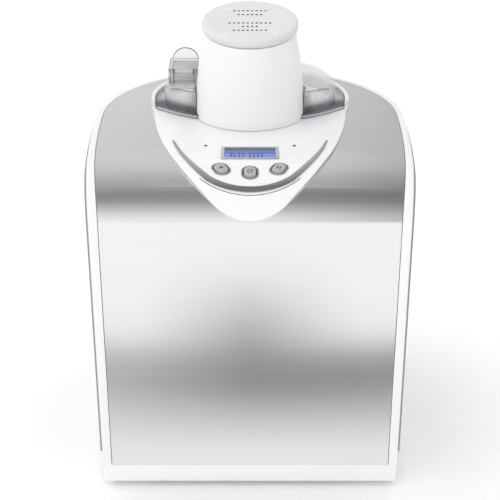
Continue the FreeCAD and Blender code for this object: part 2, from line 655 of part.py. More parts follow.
def controls():
    hole = display_block("bezel_hole", "window_margin", "4 * trim_height", PANEL + " - trim_height")
    less("display_bezel", display_block("bezel_outer", "0", "trim_height", PANEL), hole)
    display_block("display_window", "window_margin", "panel_proud", DECK)
    board_top = "(%s - board_drop + board_thick)" % DECK
    box("display_module", "display_width", "display_length - 2 * window_margin", "board_drop - board_thick",
        "0", FRONT + " + display_depth", board_top)
    stem = "board_drop + panel_proud - board_thick + trim_height"
    leds = [cylinder("led_%d" % number, "led_radius", stem, "%d * led_x" % side, FRONT + " + led_depth",
                     board_top) for number, side in enumerate((-1, 1))]
    grouped("indicator_leds", leds)
    box("control_board", "2 * button_x + 4 * button_radius", "led_depth - middle_depth + 2 * button_radius",
        "board_thick", "0", FRONT + " + (led_depth + middle_depth) / 2", DECK + " - board_drop")
    switches = []
    for label, side, depth in BUTTONS:
        foot = "button_proud - button_height"
        button_block(label, side, depth, "0", foot, "button_height")
        low = "%s - (button_straight + button_radius) * %s" % (panel_height(depth, foot), slope(depth)[0])
        height = "%s - press_room - %s" % (low, board_top)
        switches.append(box(label + "_switch", "button_radius", "button_radius", height,
                            "(%d) * button_x" % side, FRONT + " + " + depth, board_top))
    grouped("button_switches", switches)


def crescent():
    """Silver crescent on the panel's leaning plan: a front arc that runs on into two side arcs."""
    tip, bow = "trim_depth " + LEAN, "trim_bow_depth " + LEAN
    side, low = "trim_side_depth " + LEAN, "trim_low " + LEAN
    inner_bow = "(trim_bow_depth + trim_bow_width) " + LEAN
    inner_side = "(trim_side_depth + trim_side_width) " + LEAN
    inner_low = "(trim_low + trim_width) " + LEAN
    inner_tip_x, inner_bow_x = "(trim_x - trim_tip)", "(trim_bow_x - trim_bow_in)"
    inner_side_x = "(trim_side_x - trim_side_in)"
    outline = [("-trim_x", tip, "-trim_bow_x", bow), ("-trim_side_x", side, "0", low),
               ("trim_side_x", side, "trim_bow_x", bow), ("trim_x", tip),
               (inner_tip_x, tip, inner_bow_x, inner_bow), (inner_side_x, inner_side, "0", inner_low),
               ("-" + inner_side_x, inner_side, "-" + inner_bow_x, inner_bow), ("-" + inner_tip_x, tip)]
    skin = bent_skin("crescent_skin", "panel_proud", "panel_proud + trim_height")
    shared("trim_crescent", skin, leaning_plan("crescent_plan", outline))


def cold_well():
    rim = WELL_TOP
    under = rim + " - well_wall"
    turned("bowl_well", [("0", WELL_FLOOR), (WELL_OUTER, WELL_FLOOR), (WELL_OUTER, under),
                         ("well_flange", under), ("well_flange", rim), (WELL_RADIUS, rim),
                         (WELL_RADIUS, WELL_FLOOR + " + well_wall"),
                         ("0", WELL_FLOOR + " + well_wall")], BOWL_Y)
    turned("well_seal", [(WELL_RADIUS, rim), ("bowl_rim", rim), ("bowl_rim", rim + " + seal_thick"),
                         (WELL_RADIUS, rim + " + seal_thick")], BOWL_Y)
    foam = FOAM_RADIUS + " + foam_thick"
    floor = WELL_FLOOR + " - foam_thick"
    turned("well_insulation", [("0", floor), (foam, floor), (foam, under), (FOAM_RADIUS, under),
                               (FOAM_RADIUS, WELL_FLOOR), ("0", WELL_FLOOR)], BOWL_Y)


def evaporator():
    """Tube wound up the cold well on quarter-turn arcs."""
    radius = sized(COIL_RADIUS)
    step = sized("coil_pitch") / 4
    start = sized(COIL_FOOT)
    axis = sized(BOWL_Y)

    def at(quarter):
        angle = quarter * math.pi / 2
        along = axis + radius * math.sin(angle)
        return FreeCAD.Vector(radius * math.cos(angle), along, start + step * quarter)
    edges = [Part.Arc(at(number), at(number + 0.5), at(number + 1)).toShape()
             for number in range(int(4 * sized("coil_turns")))]
    section = Part.Wire([Part.makeCircle(sized("coil_radius"), at(0), FreeCAD.Vector(0, 1, 0))])
    made("evaporator_coil", Part.Wire(edges).makePipeShell([section], True, False))


def bowl():
    top, wall = BOWL_TOP, "bowl_radius + bowl_wall"
    inside = BOWL_FLOOR + " + bowl_wall"
    pivot = inside + " + pivot_height"
    shell = turned("bowl_turned", [("0", BOWL_FLOOR), (wall, BOWL_FLOOR), (wall, top + " - rim_thick"),
                                   ("bowl_rim", top + " - rim_thick"), ("bowl_rim", top),
                                   ("bowl_radius", top), ("bowl_radius", inside), ("pivot_radius", inside),
                                   ("pivot_radius", pivot), ("0", pivot)], BOWL_Y)
    pivots = cylinder("bail_holes", "bail_wire + pin_fit", "3 * bowl_radius", "-1.5 * bowl_radius", BOWL_Y,
                      top + " - bail_drop", (0, 1, 0), 90)
    less("inner_bowl", shell, pivots)
    ring = doc.addObject("Part::Torus", "bail_ring")
    ring.setExpression("Radius1", bind("bail_radius"))
    ring.setExpression("Radius2", bind("bail_wire"))
    ring.Angle3 = 180
    place(ring, "0", BOWL_Y, top + " - bail_drop")
    reach = "bowl_radius + bowl_wall - bail_radius + bowl_gap / 2 + bail_wire"
    ends = [cylinder("bail_end_%d" % number, "bail_wire", reach, "%d * (bail_radius - bail_wire)" % side,
                     BOWL_Y, top + " - bail_drop", (0, 1, 0), 90 * side)
            for number, side in enumerate((-1, 1))]
    joined("bowl_handle", [ring] + ends)


def paddle():
    floor = BOWL_FLOOR + " + 2 * bowl_wall"
    frame_foot = floor + " + pivot_height / 2"
    stem = "%s - lid_gap - (%s)" % (LID_FOOT, floor)
    shaft = cylinder("paddle_stem", "paddle_shaft", stem, "0", BOWL_Y, floor)
    drive = doc.addObject("Part::Prism", "paddle_hexagon")
    drive.Polygon = 6
    drive.setExpression("Circumradius", bind("drive_flats / sqrt(3)"))
    drive.setExpression("Height", bind("gear_lift + 2 * lid_gap"))
    place(drive, "0", BOWL_Y, LID_FOOT + " - lid_gap - pin_fit")
    arms = [box("paddle_arm_%d" % number, "2 * paddle_radius", "2 * paddle_shaft", "paddle_shaft", "0",
                BOWL_Y, "%s + %d * (paddle_height - paddle_shaft)" % (frame_foot, number))
            for number in (0, 1)]
    bars = [box("paddle_bar_%d" % number, "paddle_shaft", "2 * paddle_shaft", "paddle_height",
                "(%s) * (paddle_radius - paddle_shaft / 2)" % share, BOWL_Y, frame_foot)
            for number, share in enumerate(("-1", "-0.5", "0.5", "1"))]
    bore = cylinder("paddle_bore", "pivot_radius + pin_fit", "pivot_height", "0", BOWL_Y, floor)
    less("paddle", joined("paddle_frame", [shaft, drive] + arms + bars), bore)


def front_zone(name, inset):
    """What lies behind the lid's curved front edge."""
    along, below = "%s - lid_front + lid_arc" % BOWL_Y, LID_FOOT + " - dome_height"
    return cylinder(name, "lid_arc - (%s)" % inset, "4 * dome_height", "0", along, below)


def head_space(name, gap, foot, height):
    return cylinder(name, "head_radius + (%s)" % gap, height, "0", MOTOR_Y, foot)


HATCH_X = "(hatch_width / 2 - hatch_x)"
DOME_TOP = "(%s + dome_height)" % LID_FOOT
HATCH_Y = "(%s + hatch_back)" % BOWL_Y
HATCH_TOP = "(%s + hatch_rise)" % DOME_TOP
HINGE_Y = "(%s - hatch_length / 2 - lid_wall - 2 * pin_radius - hatch_gap)" % HATCH_Y
HINGE_Z = "(%s + hatch_gap + hatch_thick / 2)" % HATCH_TOP


def hinge_rod(name, radius, length):
    """Rod along the hatch's hinge."""
    start = "%s - (%s) / 2" % (HATCH_X, length)
    return cylinder(name, radius, length, start, HINGE_Y, HINGE_Z, (0, 1, 0), 90)


def dome_block(name, wall, foot):
    """Dome with a rounded shoulder, inside a wall."""
    radius, turn = "(dome_radius - %s)" % wall, "(dome_round - %s)" % wall
    top = "(%s - %s)" % (DOME_TOP, wall)
    inset = "%s * (1 - sqrt(0.5))" % turn
    shoulder = (radius, "%s - %s" % (top, turn), "%s - %s" % (radius, inset), "%s - %s" % (top, inset))
    outline = [("0", foot), (radius, foot), shoulder, ("%s - %s" % (radius, turn), top), ("0", top)]
    whole = turned(name + "_turned", outline, BOWL_Y)
    zone = front_zone(name + "_zone", "2 * lid_wall + " + wall)
    return shared(name, whole, zone)


def lid():
    disc = cylinder("lid_flange_disc", LID_RADIUS, "lid_flange", "0", BOWL_Y, LID_FOOT)
    flange = shared("lid_flange_part", disc, front_zone("lid_flange_zone", "0"))
    dome = dome_block("lid_dome", "0", LID_FOOT)
    hollow = dome_block("lid_hollow", "lid_wall", LID_FOOT + " - lid_wall")
    shell = less("lid_shell", joined("lid_outer", [flange, dome]), hollow)
    sleeve_disc = head_space("lid_sleeve_disc", "lid_gap + lid_wall", LID_FOOT, "dome_height")
    sleeve = shared("lid_sleeve", sleeve_disc, dome)
    shoulder = DOME_TOP + " - dome_round"
    ear_height = "hatch_rise + hatch_gap + 2 * pin_radius + dome_round"
    ears = [box("lid_ear_%d" % number, "2 * pin_radius", "4 * pin_radius", ear_height,
                "%s + (%d) * (hatch_width / 2 - pin_radius)" % (HATCH_X, side), HINGE_Y, shoulder)
            for number, side in enumerate((-1, 1))]
    chute = box("lid_chute", "hatch_width + 2 * lid_wall", "hatch_length + 2 * lid_wall",
                "hatch_rise + dome_round", HATCH_X, HATCH_Y, shoulder)
    opening = box("hatch_opening", "hatch_width", "hatch_length", "4 * dome_height", HATCH_X, HATCH_Y,
                  LID_FOOT + " + dome_height / 2")
    space = head_space("lid_head_hole", "lid_gap", LID_FOOT + " - dome_height", "4 * dome_height")
    bore = hinge_rod("lid_ear_bore", "pin_radius", "2 * hatch_width")
    whole = joined("lid_whole", [shell, sleeve, chute] + ears)
    less("lid", whole, joined("lid_cuts", [space, opening, bore]))
    hinge_rod("hatch_pin", "pin_radius", "hatch_width")


def hatch():
    width, length = "hatch_width - 2 * hatch_gap", "hatch_length - 2 * hatch_gap"
    level = HATCH_TOP + " + hatch_gap"
    plug = box("hatch_plug", width, length, "lid_wall + hatch_gap", HATCH_X, HATCH_Y,
               HATCH_TOP + " - lid_wall")
    cover = box("hatch_cover", "hatch_width + 2 * lid_wall", "hatch_length + 2 * lid_wall", "hatch_thick",
                HATCH_X, HATCH_Y, level)
    tongue_width = "hatch_width - 4 * pin_radius - 2 * hatch_gap"
    tongue = box("hatch_tongue", tongue_width, "%s - %s" % (HATCH_Y, HINGE_Y), "hatch_thick", HATCH_X,
                 "(%s + %s) / 2" % (HATCH_Y, HINGE_Y), level)
    knuckle = hinge_rod("hatch_knuckle", "2 * pin_radius", tongue_width)
    rear = HATCH_Y + " + hatch_length / 2 + lid_wall"
    tab = cylinder("hatch_tab_disc", "hatch_tab", "hatch_thick", HATCH_X, rear, level, (1, 0, 0), 90)
    upper = box("hatch_tab_zone", "4 * hatch_tab", "hatch_length", "2 * hatch_tab", HATCH_X, rear, level)
    bore = hinge_rod("hatch_bore", "pin_radius + pin_fit", "2 * hatch_width")
    pieces = [plug, cover, tongue, knuckle, shared("hatch_half_tab", tab, upper)]
    less("hatch_flap", joined("hatch_whole", pieces), bore)


def sloped(name, outline):
    """Profile (radius, height above the slope) turned round the cap's leaning axis."""
    item = turned(name, outline)
    item.Placement = FreeCAD.Placement(GROUND, FreeCAD.Rotation(FreeCAD.Vector(1, 0, 0), sized("head_slope")))
    return place(item, "0", MOTOR_Y, HEAD_TOP)


def on_cap(name, across, back, radius, foot, height):
    """Round piece of the cap at a place on its slope, square to it."""
    along = "%s + (%s) * cos(head_slope) - (%s) * sin(head_slope)" % (MOTOR_Y, back, foot)
    up = "%s + (%s) * sin(head_slope) + (%s) * cos(head_slope)" % (HEAD_TOP, back, foot)
    return cylinder(name, radius, height, across, along, up, (1, 0, 0), sized("head_slope"))


# Rows of air holes: how many, and how far behind the middle, in row pitches
CAP_ROWS = ((8, 2.6), (6, 1.5), (10, -0.9), (4, -1.9), (8, -2.9))
CAP_SCREWS = (("-cap_screw_x", "-cap_screw_front"), ("cap_screw_x", "-cap_screw_front"),
              ("-cap_screw_x", "cap_screw_rear"), ("cap_screw_x", "cap_screw_rear"))


def motor_housing():
    """Bulged shell, cut off by the slope under the cap."""
    waist = "(head_radius + neck_radius) / 2 + head_wall"
    middle = LID_FOOT + " + head_height / 2"
    top = HEAD_TOP + " + head_radius / 2"
    inner_neck = "neck_radius - head_wall"
    shell = turned("head_shell", [("head_radius", LID_FOOT, waist, middle), ("neck_radius", HEAD_TOP),
                                  ("neck_radius", top), (inner_neck, top),
                                  (inner_neck, HEAD_TOP, waist + " - head_wall", middle),
                                  ("head_radius - head_wall", LID_FOOT)], MOTOR_Y)
    wide = "2 * head_radius"
    above = sloped("head_cut", [("0", "0"), (wide, "0"), (wide, "head_height"), ("0", "head_height")])
    less("motor_housing", shell, above)


def motor_cap():
    inset = "cap_round * (1 - sqrt(0.5))"
    edge, side = "cap_radius - cap_round", "cap_radius - " + inset
    spigot = "neck_radius - 2 * head_wall"
    bore, roof = spigot + " - head_wall", "cap_height - head_wall"
    cap = sloped("cap_turned", [("0", "cap_height"), ("0", roof), (bore, roof), (bore, "-cap_sink"),
                                (spigot, "-cap_sink"), (spigot, "0"), (edge, "0", side, inset),
                                ("cap_radius", "cap_round"),
                                ("cap_radius", "cap_height - cap_round", side, "cap_height - " + inset),
                                (edge, "cap_height")])
    under, through = "cap_height - 2 * head_wall", "4 * head_wall"
    holes = []
    for row, (count, line) in enumerate(CAP_ROWS):
        back = "(%g) * cap_row_pitch" % line
        for number in range(count):
            across = "(%g) * cap_hole_pitch" % (number - (count - 1) / 2)
            holes.append(on_cap("cap_hole_%d_%d" % (row, number), across, back, "cap_hole", under, through))
    screws = []
    for number, spot in enumerate(CAP_SCREWS):
        holes.append(on_cap("cap_seat_%d" % number, *spot, "cap_screw", under, through))
        screws.append(on_cap("cap_screw_%d" % number, *spot, "cap_screw - pin_fit", roof, "head_wall"))
    less("motor_cap", cap, joined("cap_holes", holes))
    grouped("cap_screws", screws)


def gear_shape(teeth, width, phase, foot):
    """Straight-sided teeth with running room, one of them centred on the phase angle."""
    module = sized("gear_module")
    pitch_radius = teeth * module / 2
    root, tip = pitch_radius - sized("tooth_root") * module, pitch_radius + sized("tooth_tip") * module
    base, crest = sized("tooth_foot"), sized("tooth_crest")
    level = sized(foot)
    corners = []
    for tooth in range(teeth):
        centre = phase + 2 * math.pi * tooth / teeth
        for radius, share in ((root, -base), (tip, -crest), (tip, crest), (root, base)):
            angle = centre + share * 2 * math.pi / teeth
            corners.append(FreeCAD.Vector(radius * math.cos(angle), radius * math.sin(angle), level))
    face = Part.Face(Part.makePolygon(corners + corners[:1]))
    return face.extrude(FreeCAD.Vector(0, 0, sized(width)))


def rod(radius, foot, top):
    """Upright rod on its own axis, between two heights."""
    low = sized(foot)
    return Part.makeCylinder(sized(radius), sized(top) - low, FreeCAD.Vector(0, 0, low))


# Posts under the plate over the gears, in degrees round the motor
COVER_POSTS = (215, 325, 140)


def gears():
    output, pinion, wheel = (int(sized(name)) for name in ("output_teeth", "pinion_teeth", "wheel_teeth"))
    module = sized("gear_module")
    far, near = (pinion + wheel) * module / 2, (pinion + output) * module / 2
    motor = point("0", MOTOR_Y, "0")
    axis = point("0", BOWL_Y, "0")
    span = axis.y - motor.y
    along = (far * far - near * near + span * span) / (2 * span)
    idler = FreeCAD.Vector(math.sqrt(far * far - along * along), motor.y + along, 0)
    to_motor = math.atan2(motor.y - idler.y, -idler.x)
    to_output = math.atan2(axis.y - idler.y, -idler.x)

    gear = gear_shape(output, "gear_width", to_output + math.pi + math.pi / output, GEAR_FOOT)
    hub_foot = LID_FOOT + " + lid_gap / 2"
    hub = rod("hub_radius", hub_foot, GEAR_FOOT)
    reach = (sized("drive_flats") / 2 + sized("drive_gap")) / math.cos(math.pi / 6)
    below = sized(hub_foot + " - cover_thick")
    corners = [FreeCAD.Vector(reach * math.cos(n * math.pi / 3), reach * math.sin(n * math.pi / 3), below)
               for n in range(7)]
    depth = sized("gear_lift + 2 * lid_gap + drive_room + cover_thick")
    socket = Part.Face(Part.makePolygon(corners)).extrude(FreeCAD.Vector(0, 0, depth))
    made("output_gear", gear.fuse(hub).cut(socket).removeSplitter(), axis)

    small = gear_shape(pinion, "gear_width", to_output, GEAR_FOOT)
    large = gear_shape(wheel, "wheel_width", to_motor + math.pi / wheel, WHEEL_FOOT)
    boss = rod("boss_radius", GEAR_FOOT + " + gear_width", WHEEL_FOOT)
    bore = rod("shaft_radius + pin_fit", LID_FOOT, HEAD_TOP)
    made("idler_gear", small.fuse(boss).fuse(large).cut(bore).removeSplitter(), idler)

    axle_foot = LID_FOOT + " + tray_thick"
    axle = rod("shaft_radius", axle_foot, CAN_FOOT)
    collar_rod = rod("2 * shaft_radius", axle_foot, GEAR_FOOT + " - pin_fit")
    made("idler_axle", axle.fuse(collar_rod).removeSplitter(), idler)

    drive = gear_shape(pinion, "wheel_width", to_motor + math.pi, WHEEL_FOOT)
    shaft = rod("shaft_radius", WHEEL_FOOT, CAN_FOOT + " + can_height - can_wall / 2")
    armature = rod("can_radius - 2 * can_wall", CAN_FOOT + " + 2 * can_wall",
                   CAN_FOOT + " + can_height - 2 * can_wall")
    made("motor_rotor", drive.fuse(shaft).fuse(armature).removeSplitter(), motor)

    shaft_hole = rod("2 * shaft_radius", LID_FOOT, HEAD_TOP)
    axle_hole = rod("shaft_radius", LID_FOOT, HEAD_TOP)
    axle_hole.translate(idler - motor)
    cover = rod("neck_radius - 2 * head_wall", COVER_FOOT, CAN_FOOT).cut(shaft_hole).cut(axle_hole)
    ring = sized("neck_radius - 4 * head_wall")
    for degrees in COVER_POSTS:
        angle = math.radians(degrees)
        post = rod("head_wall", axle_foot, COVER_FOOT)
        post.translate(FreeCAD.Vector(ring * math.cos(angle), ring * math.sin(angle), 0))
        cover = cover.fuse(post)
    made("gear_cover", cover.removeSplitter(), motor)


def drive_frame():
    tray = cylinder("tray_disc", "head_radius - head_wall - lid_gap", "tray_thick", "0", MOTOR_Y, LID_FOOT)
    hole = cylinder("tray_hole", "hub_radius + head_wall", "4 * tray_thick", "0", BOWL_Y,
                    LID_FOOT + " - tray_thick")
    less("gear_tray", tray, hole)
    inner, outer = "hub_radius + pin_fit", "hub_radius + head_wall"
    top = GEAR_FOOT + " - lid_gap"
    turned("output_bush", [(inner, LID_FOOT), (outer, LID_FOOT), (outer, top), (inner, top)], BOWL_Y)


def motor_can():
    """Closed can with a bore for the shaft below and a blind one above."""
    top = CAN_FOOT + " + can_height"
    roof, floor = top + " - can_wall", CAN_FOOT + " + can_wall"
    blind = top + " - can_wall / 4"
    bore, inside = "shaft_radius + pin_fit", "can_radius - can_wall"
    turned("motor_can", [(bore, CAN_FOOT), ("can_radius", CAN_FOOT), ("can_radius", top), ("0", top),
                         ("0", blind), (bore, blind), (bore, roof), (inside, roof), (inside, floor),
                         (bore, floor)], MOTOR_Y)


def refrigeration():
    waist = "(%s + %s * seam_share)" % (PUMP_FOOT, PUMP_HEIGHT)
    crown = "(%s + %s)" % (PUMP_FOOT, PUMP_HEIGHT)
    end = "(%s * round_share)" % PUMP_HEIGHT
    shoulder, bulge = "pump_radius * shoulder_share", "pump_radius * bulge_share"
    flange, flange_top = "pump_radius + well_wall", waist + " + 4 * well_wall"
    turned("compressor_base", [("0", PUMP_FOOT),
                               (shoulder, PUMP_FOOT, bulge, "%s + %s / 3" % (PUMP_FOOT, end)),
                               ("pump_radius", "%s + %s" % (PUMP_FOOT, end)), ("pump_radius", waist),
                               ("0", waist)], BOWL_Y, "pump_x")
    turned("compressor_dome", [("0", waist), (flange, waist), (flange, flange_top),
                               ("pump_radius", flange_top),
                               ("pump_radius", "%s - %s" % (crown, end), bulge, "%s - %s / 3" % (crown, end)),
                               (shoulder, crown), ("0", crown)], BOWL_Y, "pump_x")
    rubber = []
    for number in range(3):
        angle = math.radians(90 + 120 * number)
        rubber.append(cylinder("grommet_%d" % number, "foot_radius", "grommet_height",
                               "pump_x + (%g) * pump_radius / 2" % math.cos(angle),
                               "%s + (%g) * pump_radius / 2" % (BOWL_Y, math.sin(angle)), PLATE_TOP))
    grouped("compressor_grommets", rubber)
    box("start_relay", "relay_thick", "relay_width", "%s * seam_share - relay_lift - relay_gap" % PUMP_HEIGHT,
        "pump_x + pump_radius + relay_thick / 2 + 4 * pin_fit", BOWL_Y, PUMP_FOOT + " + relay_lift")
    box("power_board", "supply_width", "board_thick", "supply_height", "supply_x", FRONT + " + supply_depth",
        PLATE_TOP)


CONDENSER_X = "(fan_x + fan_plate / 2 + pin_fit + condenser_thick / 2)"


def condenser():
    block = box("condenser_block", "condenser_thick", "condenser_width", ROOM, CONDENSER_X, FAN_Y, PLATE_TOP)
    gaps = []
    for number in range(int(sized("condenser_width / fin_pitch"))):
        along = "%s - condenser_width / 2 + fin_pitch * %g" % (FAN_Y, number + 0.5)
        for side in (-1, 1):
            gaps.append(box("fin_gap_%d_%d" % (number, side + 1), "condenser_thick / 2", "fin_gap",
                            ROOM + " - 2 * fin_core",
                            "%s + (%d) * (condenser_thick / 4 + fin_core / 2)" % (CONDENSER_X, side), along,
                            PLATE_TOP + " + fin_core"))
    less("condenser", block, joined("fin_gaps", gaps))


def fan_rod(name, radius, length, start):
    """Rod along the fan's axis."""
    return cylinder(name, radius, length, start, FAN_Y, FAN_Z, (0, 1, 0), 90)


def fan():
    frame = box("fan_square", "fan_plate", ROOM, ROOM, "fan_x", FAN_Y, PLATE_TOP)
    ring = fan_rod("fan_ring_hole", FAN_RADIUS + " + fan_gap", "4 * fan_plate", "fan_x - 2 * fan_plate")
    back = "fan_x - fan_plate - fan_motor_length"
    level = FAN_Z + " - fan_strut / 2"
    rail = box("fan_rail", "fan_strut", ROOM + " - 2 * fan_strut", "fan_strut",
               "fan_x - fan_plate - fan_motor_length / 2", FAN_Y, level)
    reach = "(fan_plate + fan_motor_length + fan_strut) / 2"
    ends = [box("fan_rail_end_%d" % number, reach, "fan_strut", "fan_strut",
                "fan_x - fan_plate / 2 - (%s) / 2" % reach,
                "%s + (%d) * (%s / 2 - 1.5 * fan_strut)" % (FAN_Y, side, ROOM), level)
            for number, side in enumerate((-1, 1))]
    seat = fan_rod("fan_motor_seat", "fan_motor_radius", "fan_motor_length", back)
    whole = joined("fan_frame_whole", [less("fan_open", frame, ring), rail] + ends)
    less("fan_shroud", whole, seat)
    can = fan_rod("fan_motor_can", "fan_motor_radius", "fan_motor_length", back)
    shaft = fan_rod("fan_shaft", "shaft_radius", "fan_shaft_share * fan_plate", "fan_x - fan_plate")
    joined("fan_motor", [can, shaft])
    across = FreeCAD.Vector(1, 0, 0)
    plate = sized("fan_plate")
    hub = Part.makeCylinder(sized("fan_hub"), plate, across * (-plate / 2), across)
    chord = 2 * sized("fan_hub") * math.sin(math.pi / sized("fan_blades"))
    thick = sized("board_thick")
    for number in range(int(sized("fan_blades"))):
        blade = Part.makeBox(chord, thick, sized(FAN_RADIUS), FreeCAD.Vector(-chord / 2, -thick / 2, 0))
        blade.rotate(GROUND, FreeCAD.Vector(0, 0, 1), 90 - sized("fan_pitch"))
        blade.rotate(GROUND, across, 360 * number / sized("fan_blades"))
        hub = hub.fuse(blade)
    bore = Part.makeCylinder(sized("shaft_radius + pin_fit"), 2 * plate, across * -plate, across)
    made("fan_blade", hub.cut(bore).removeSplitter(), point("fan_x", FAN_Y, FAN_Z))


def tube(name, route):
    """Tube along straight runs joined by tangent arcs."""
    radius, bend = sized("tube_radius"), sized("tube_bend")
    stops = [point(*stop) for stop in route]
    edges = []
    last = stops[0]
    for before, corner, after in zip(stops, stops[1:], stops[2:]):
        arrive = (corner - before).normalize()
        leave = (after - corner).normalize()
        start, stop = corner - arrive * bend, corner + leave * bend
        centre = corner - arrive * bend + leave * bend
        middle = centre + (corner - centre).normalize() * bend
        edges.append(Part.LineSegment(last, start).toShape())
        edges.append(Part.Arc(start, middle, stop).toShape())
        last = stop
    edges.append(Part.LineSegment(last, stops[-1]).toShape())
    section = Part.Wire([Part.makeCircle(radius, stops[0], stops[1] - stops[0])])
    made(name, Part.Wire(edges).makePipeShell([section], True, False))


DRIER_Y = "(%s - max(%s; condenser_width) / 2 - drier_gap)" % (FAN_Y, ROOM)
DRIER_FOOT = "(%s + drier_lift)" % PLATE_TOP
LOW = "(%s + drier_lift / 2)" % PLATE_TOP
HIGH = "(%s + %s * (1 + seam_share) / 2 - tube_bend)" % (PUMP_FOOT, PUMP_HEIGHT)
SUCTION_Y = "(%s + suction_back)" % BOWL_Y
DISCHARGE_Y = "(%s - 5 * tube_radius)" % SUCTION_Y
PUMP_SIDE = "(pump_x + pump_radius + pin_fit)"


def refrigerant_tubes():
    cylinder("filter_drier", "drier_radius", "drier_length", COIL_RADIUS, DRIER_Y, DRIER_FOOT)
    tube("capillary_tube", [(COIL_RADIUS, BOWL_Y, COIL_FOOT), (COIL_RADIUS, DRIER_Y, COIL_FOOT),
                            (COIL_RADIUS, DRIER_Y, DRIER_FOOT + " + drier_length")])
    tube("liquid_tube", [(COIL_RADIUS, DRIER_Y, DRIER_FOOT), (COIL_RADIUS, DRIER_Y, LOW),
                         (CONDENSER_X, DRIER_Y, LOW), (CONDENSER_X, FAN_Y + " - condenser_width / 2", LOW)])
    tube("discharge_tube", [("pump_x", BOWL_Y + " + pump_radius + pin_fit", HIGH),
                            ("pump_x", DISCHARGE_Y, HIGH), (CONDENSER_X, DISCHARGE_Y, HIGH),
                            (CONDENSER_X, FAN_Y + " + condenser_width / 2", HIGH)])
    over = HIGH + " + 4 * tube_radius"
    beside = PUMP_SIDE + " + suction_out"
    tube("suction_tube", [(COIL_RADIUS, BOWL_Y, COIL_TOP), (COIL_RADIUS, SUCTION_Y, COIL_TOP),
                          (COIL_RADIUS, SUCTION_Y, over), (beside, SUCTION_Y, over), (beside, BOWL_Y, over),
                          (PUMP_SIDE, BOWL_Y, over)])


BUILDERS = (base, casing, steel, side_panels, rear_grille, power_inlet, control_panel, controls, cold_well,
            evaporator, bowl, paddle, lid, hatch, crescent, motor_housing, motor_cap, gears, drive_frame,
            motor_can, refrigeration, condenser, fan, refrigerant_tubes)

NODES = ["base_tray", "feet", "chassis_plate", "casing_shell", "front_panel", "side_panel_left",
         "side_panel_right", "rear_grille", "power_inlet", "control_panel", "display_bezel",
         "display_window", "display_module", "indicator_leds", "control_board", "button_switches",
         "button_left", "button_middle", "button_right", "bowl_well", "well_seal", "well_insulation",
         "evaporator_coil", "inner_bowl", "bowl_handle", "paddle", "lid", "hatch_pin", "hatch_flap",
         "motor_housing", "motor_cap", "cap_screws", "output_gear", "idler_gear", "idler_axle",
         "motor_rotor", "gear_cover", "gear_tray", "output_bush", "motor_can", "compressor_base",
         "compressor_dome", "compressor_grommets", "start_relay", "power_board", "condenser",
         "fan_shroud", "fan_motor", "fan_blade", "filter_drier", "capillary_tube", "liquid_tube",
         "discharge_tube", "suction_tube", "chassis_screws", "trim_crescent"]

for build in BUILDERS:
    build()
doc.recompute()
failed = [item.Name for item in doc.Objects if {"Invalid", "Error"} & set(item.State)]
for node in NODES:
    shape = doc.getObject(node).Shape
    if shape.isNull() or not shape.isValid() or not shape.Solids:
        failed.append(node)
if failed:
    raise RuntimeError("failed: " + ", ".join(failed))
os.makedirs("parts", exist_ok=True)
for node in NODES:
    item = doc.getObject(node)
    item.Label = node
    item.Shape.exportStep("parts/%s.step" % node)
    print("%-20s solids %d volume %.0f" % (node, len(item.Shape.Solids), item.Shape.Volume))
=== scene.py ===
"""Looks of the countertop ice cream maker, dressed on its CAD frame."""
import json
import math

import bpy
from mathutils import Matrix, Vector

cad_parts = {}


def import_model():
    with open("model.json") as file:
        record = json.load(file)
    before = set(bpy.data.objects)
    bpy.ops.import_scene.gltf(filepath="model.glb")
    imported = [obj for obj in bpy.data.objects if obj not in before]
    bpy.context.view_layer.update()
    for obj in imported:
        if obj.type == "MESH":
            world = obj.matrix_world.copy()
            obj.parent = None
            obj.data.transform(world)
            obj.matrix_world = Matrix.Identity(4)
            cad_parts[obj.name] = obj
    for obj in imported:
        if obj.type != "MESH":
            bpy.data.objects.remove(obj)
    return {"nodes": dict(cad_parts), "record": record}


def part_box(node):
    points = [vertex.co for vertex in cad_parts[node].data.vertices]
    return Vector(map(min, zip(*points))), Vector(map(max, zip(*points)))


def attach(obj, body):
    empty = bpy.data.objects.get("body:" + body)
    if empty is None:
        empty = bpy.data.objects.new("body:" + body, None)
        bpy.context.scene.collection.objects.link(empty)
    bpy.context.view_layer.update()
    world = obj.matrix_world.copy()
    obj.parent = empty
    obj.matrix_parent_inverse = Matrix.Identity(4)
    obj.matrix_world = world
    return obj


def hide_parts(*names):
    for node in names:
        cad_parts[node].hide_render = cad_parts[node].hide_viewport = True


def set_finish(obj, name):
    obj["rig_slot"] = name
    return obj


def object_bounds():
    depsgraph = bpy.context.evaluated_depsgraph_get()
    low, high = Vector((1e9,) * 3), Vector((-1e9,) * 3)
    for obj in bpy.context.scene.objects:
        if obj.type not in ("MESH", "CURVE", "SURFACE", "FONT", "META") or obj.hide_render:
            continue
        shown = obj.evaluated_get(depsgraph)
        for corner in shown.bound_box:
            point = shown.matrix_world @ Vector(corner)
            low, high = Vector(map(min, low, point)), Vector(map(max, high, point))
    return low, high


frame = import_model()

cad_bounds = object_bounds()
NODES = frame["nodes"]
RECORD = frame["record"]
BODY_OF = {node: body for body, nodes in RECORD["behaviour"]["bodies"].items() for node in nodes}
SLOT_OF = {row["node"]: row["material_slot"] for row in RECORD["subparts"]}
MM = 0.001

# Camera, in metres and degrees, found from the converging edges of the steel front
CAMERA_PLACE = (0.0, -0.9755, 0.614)
CAMERA_TILT = 25.5
FOCAL_PIXELS = 1190
PHOTO_PIXELS = 500
SENSOR = 36.0
CLIP_START, CLIP_END = 0.05, 30

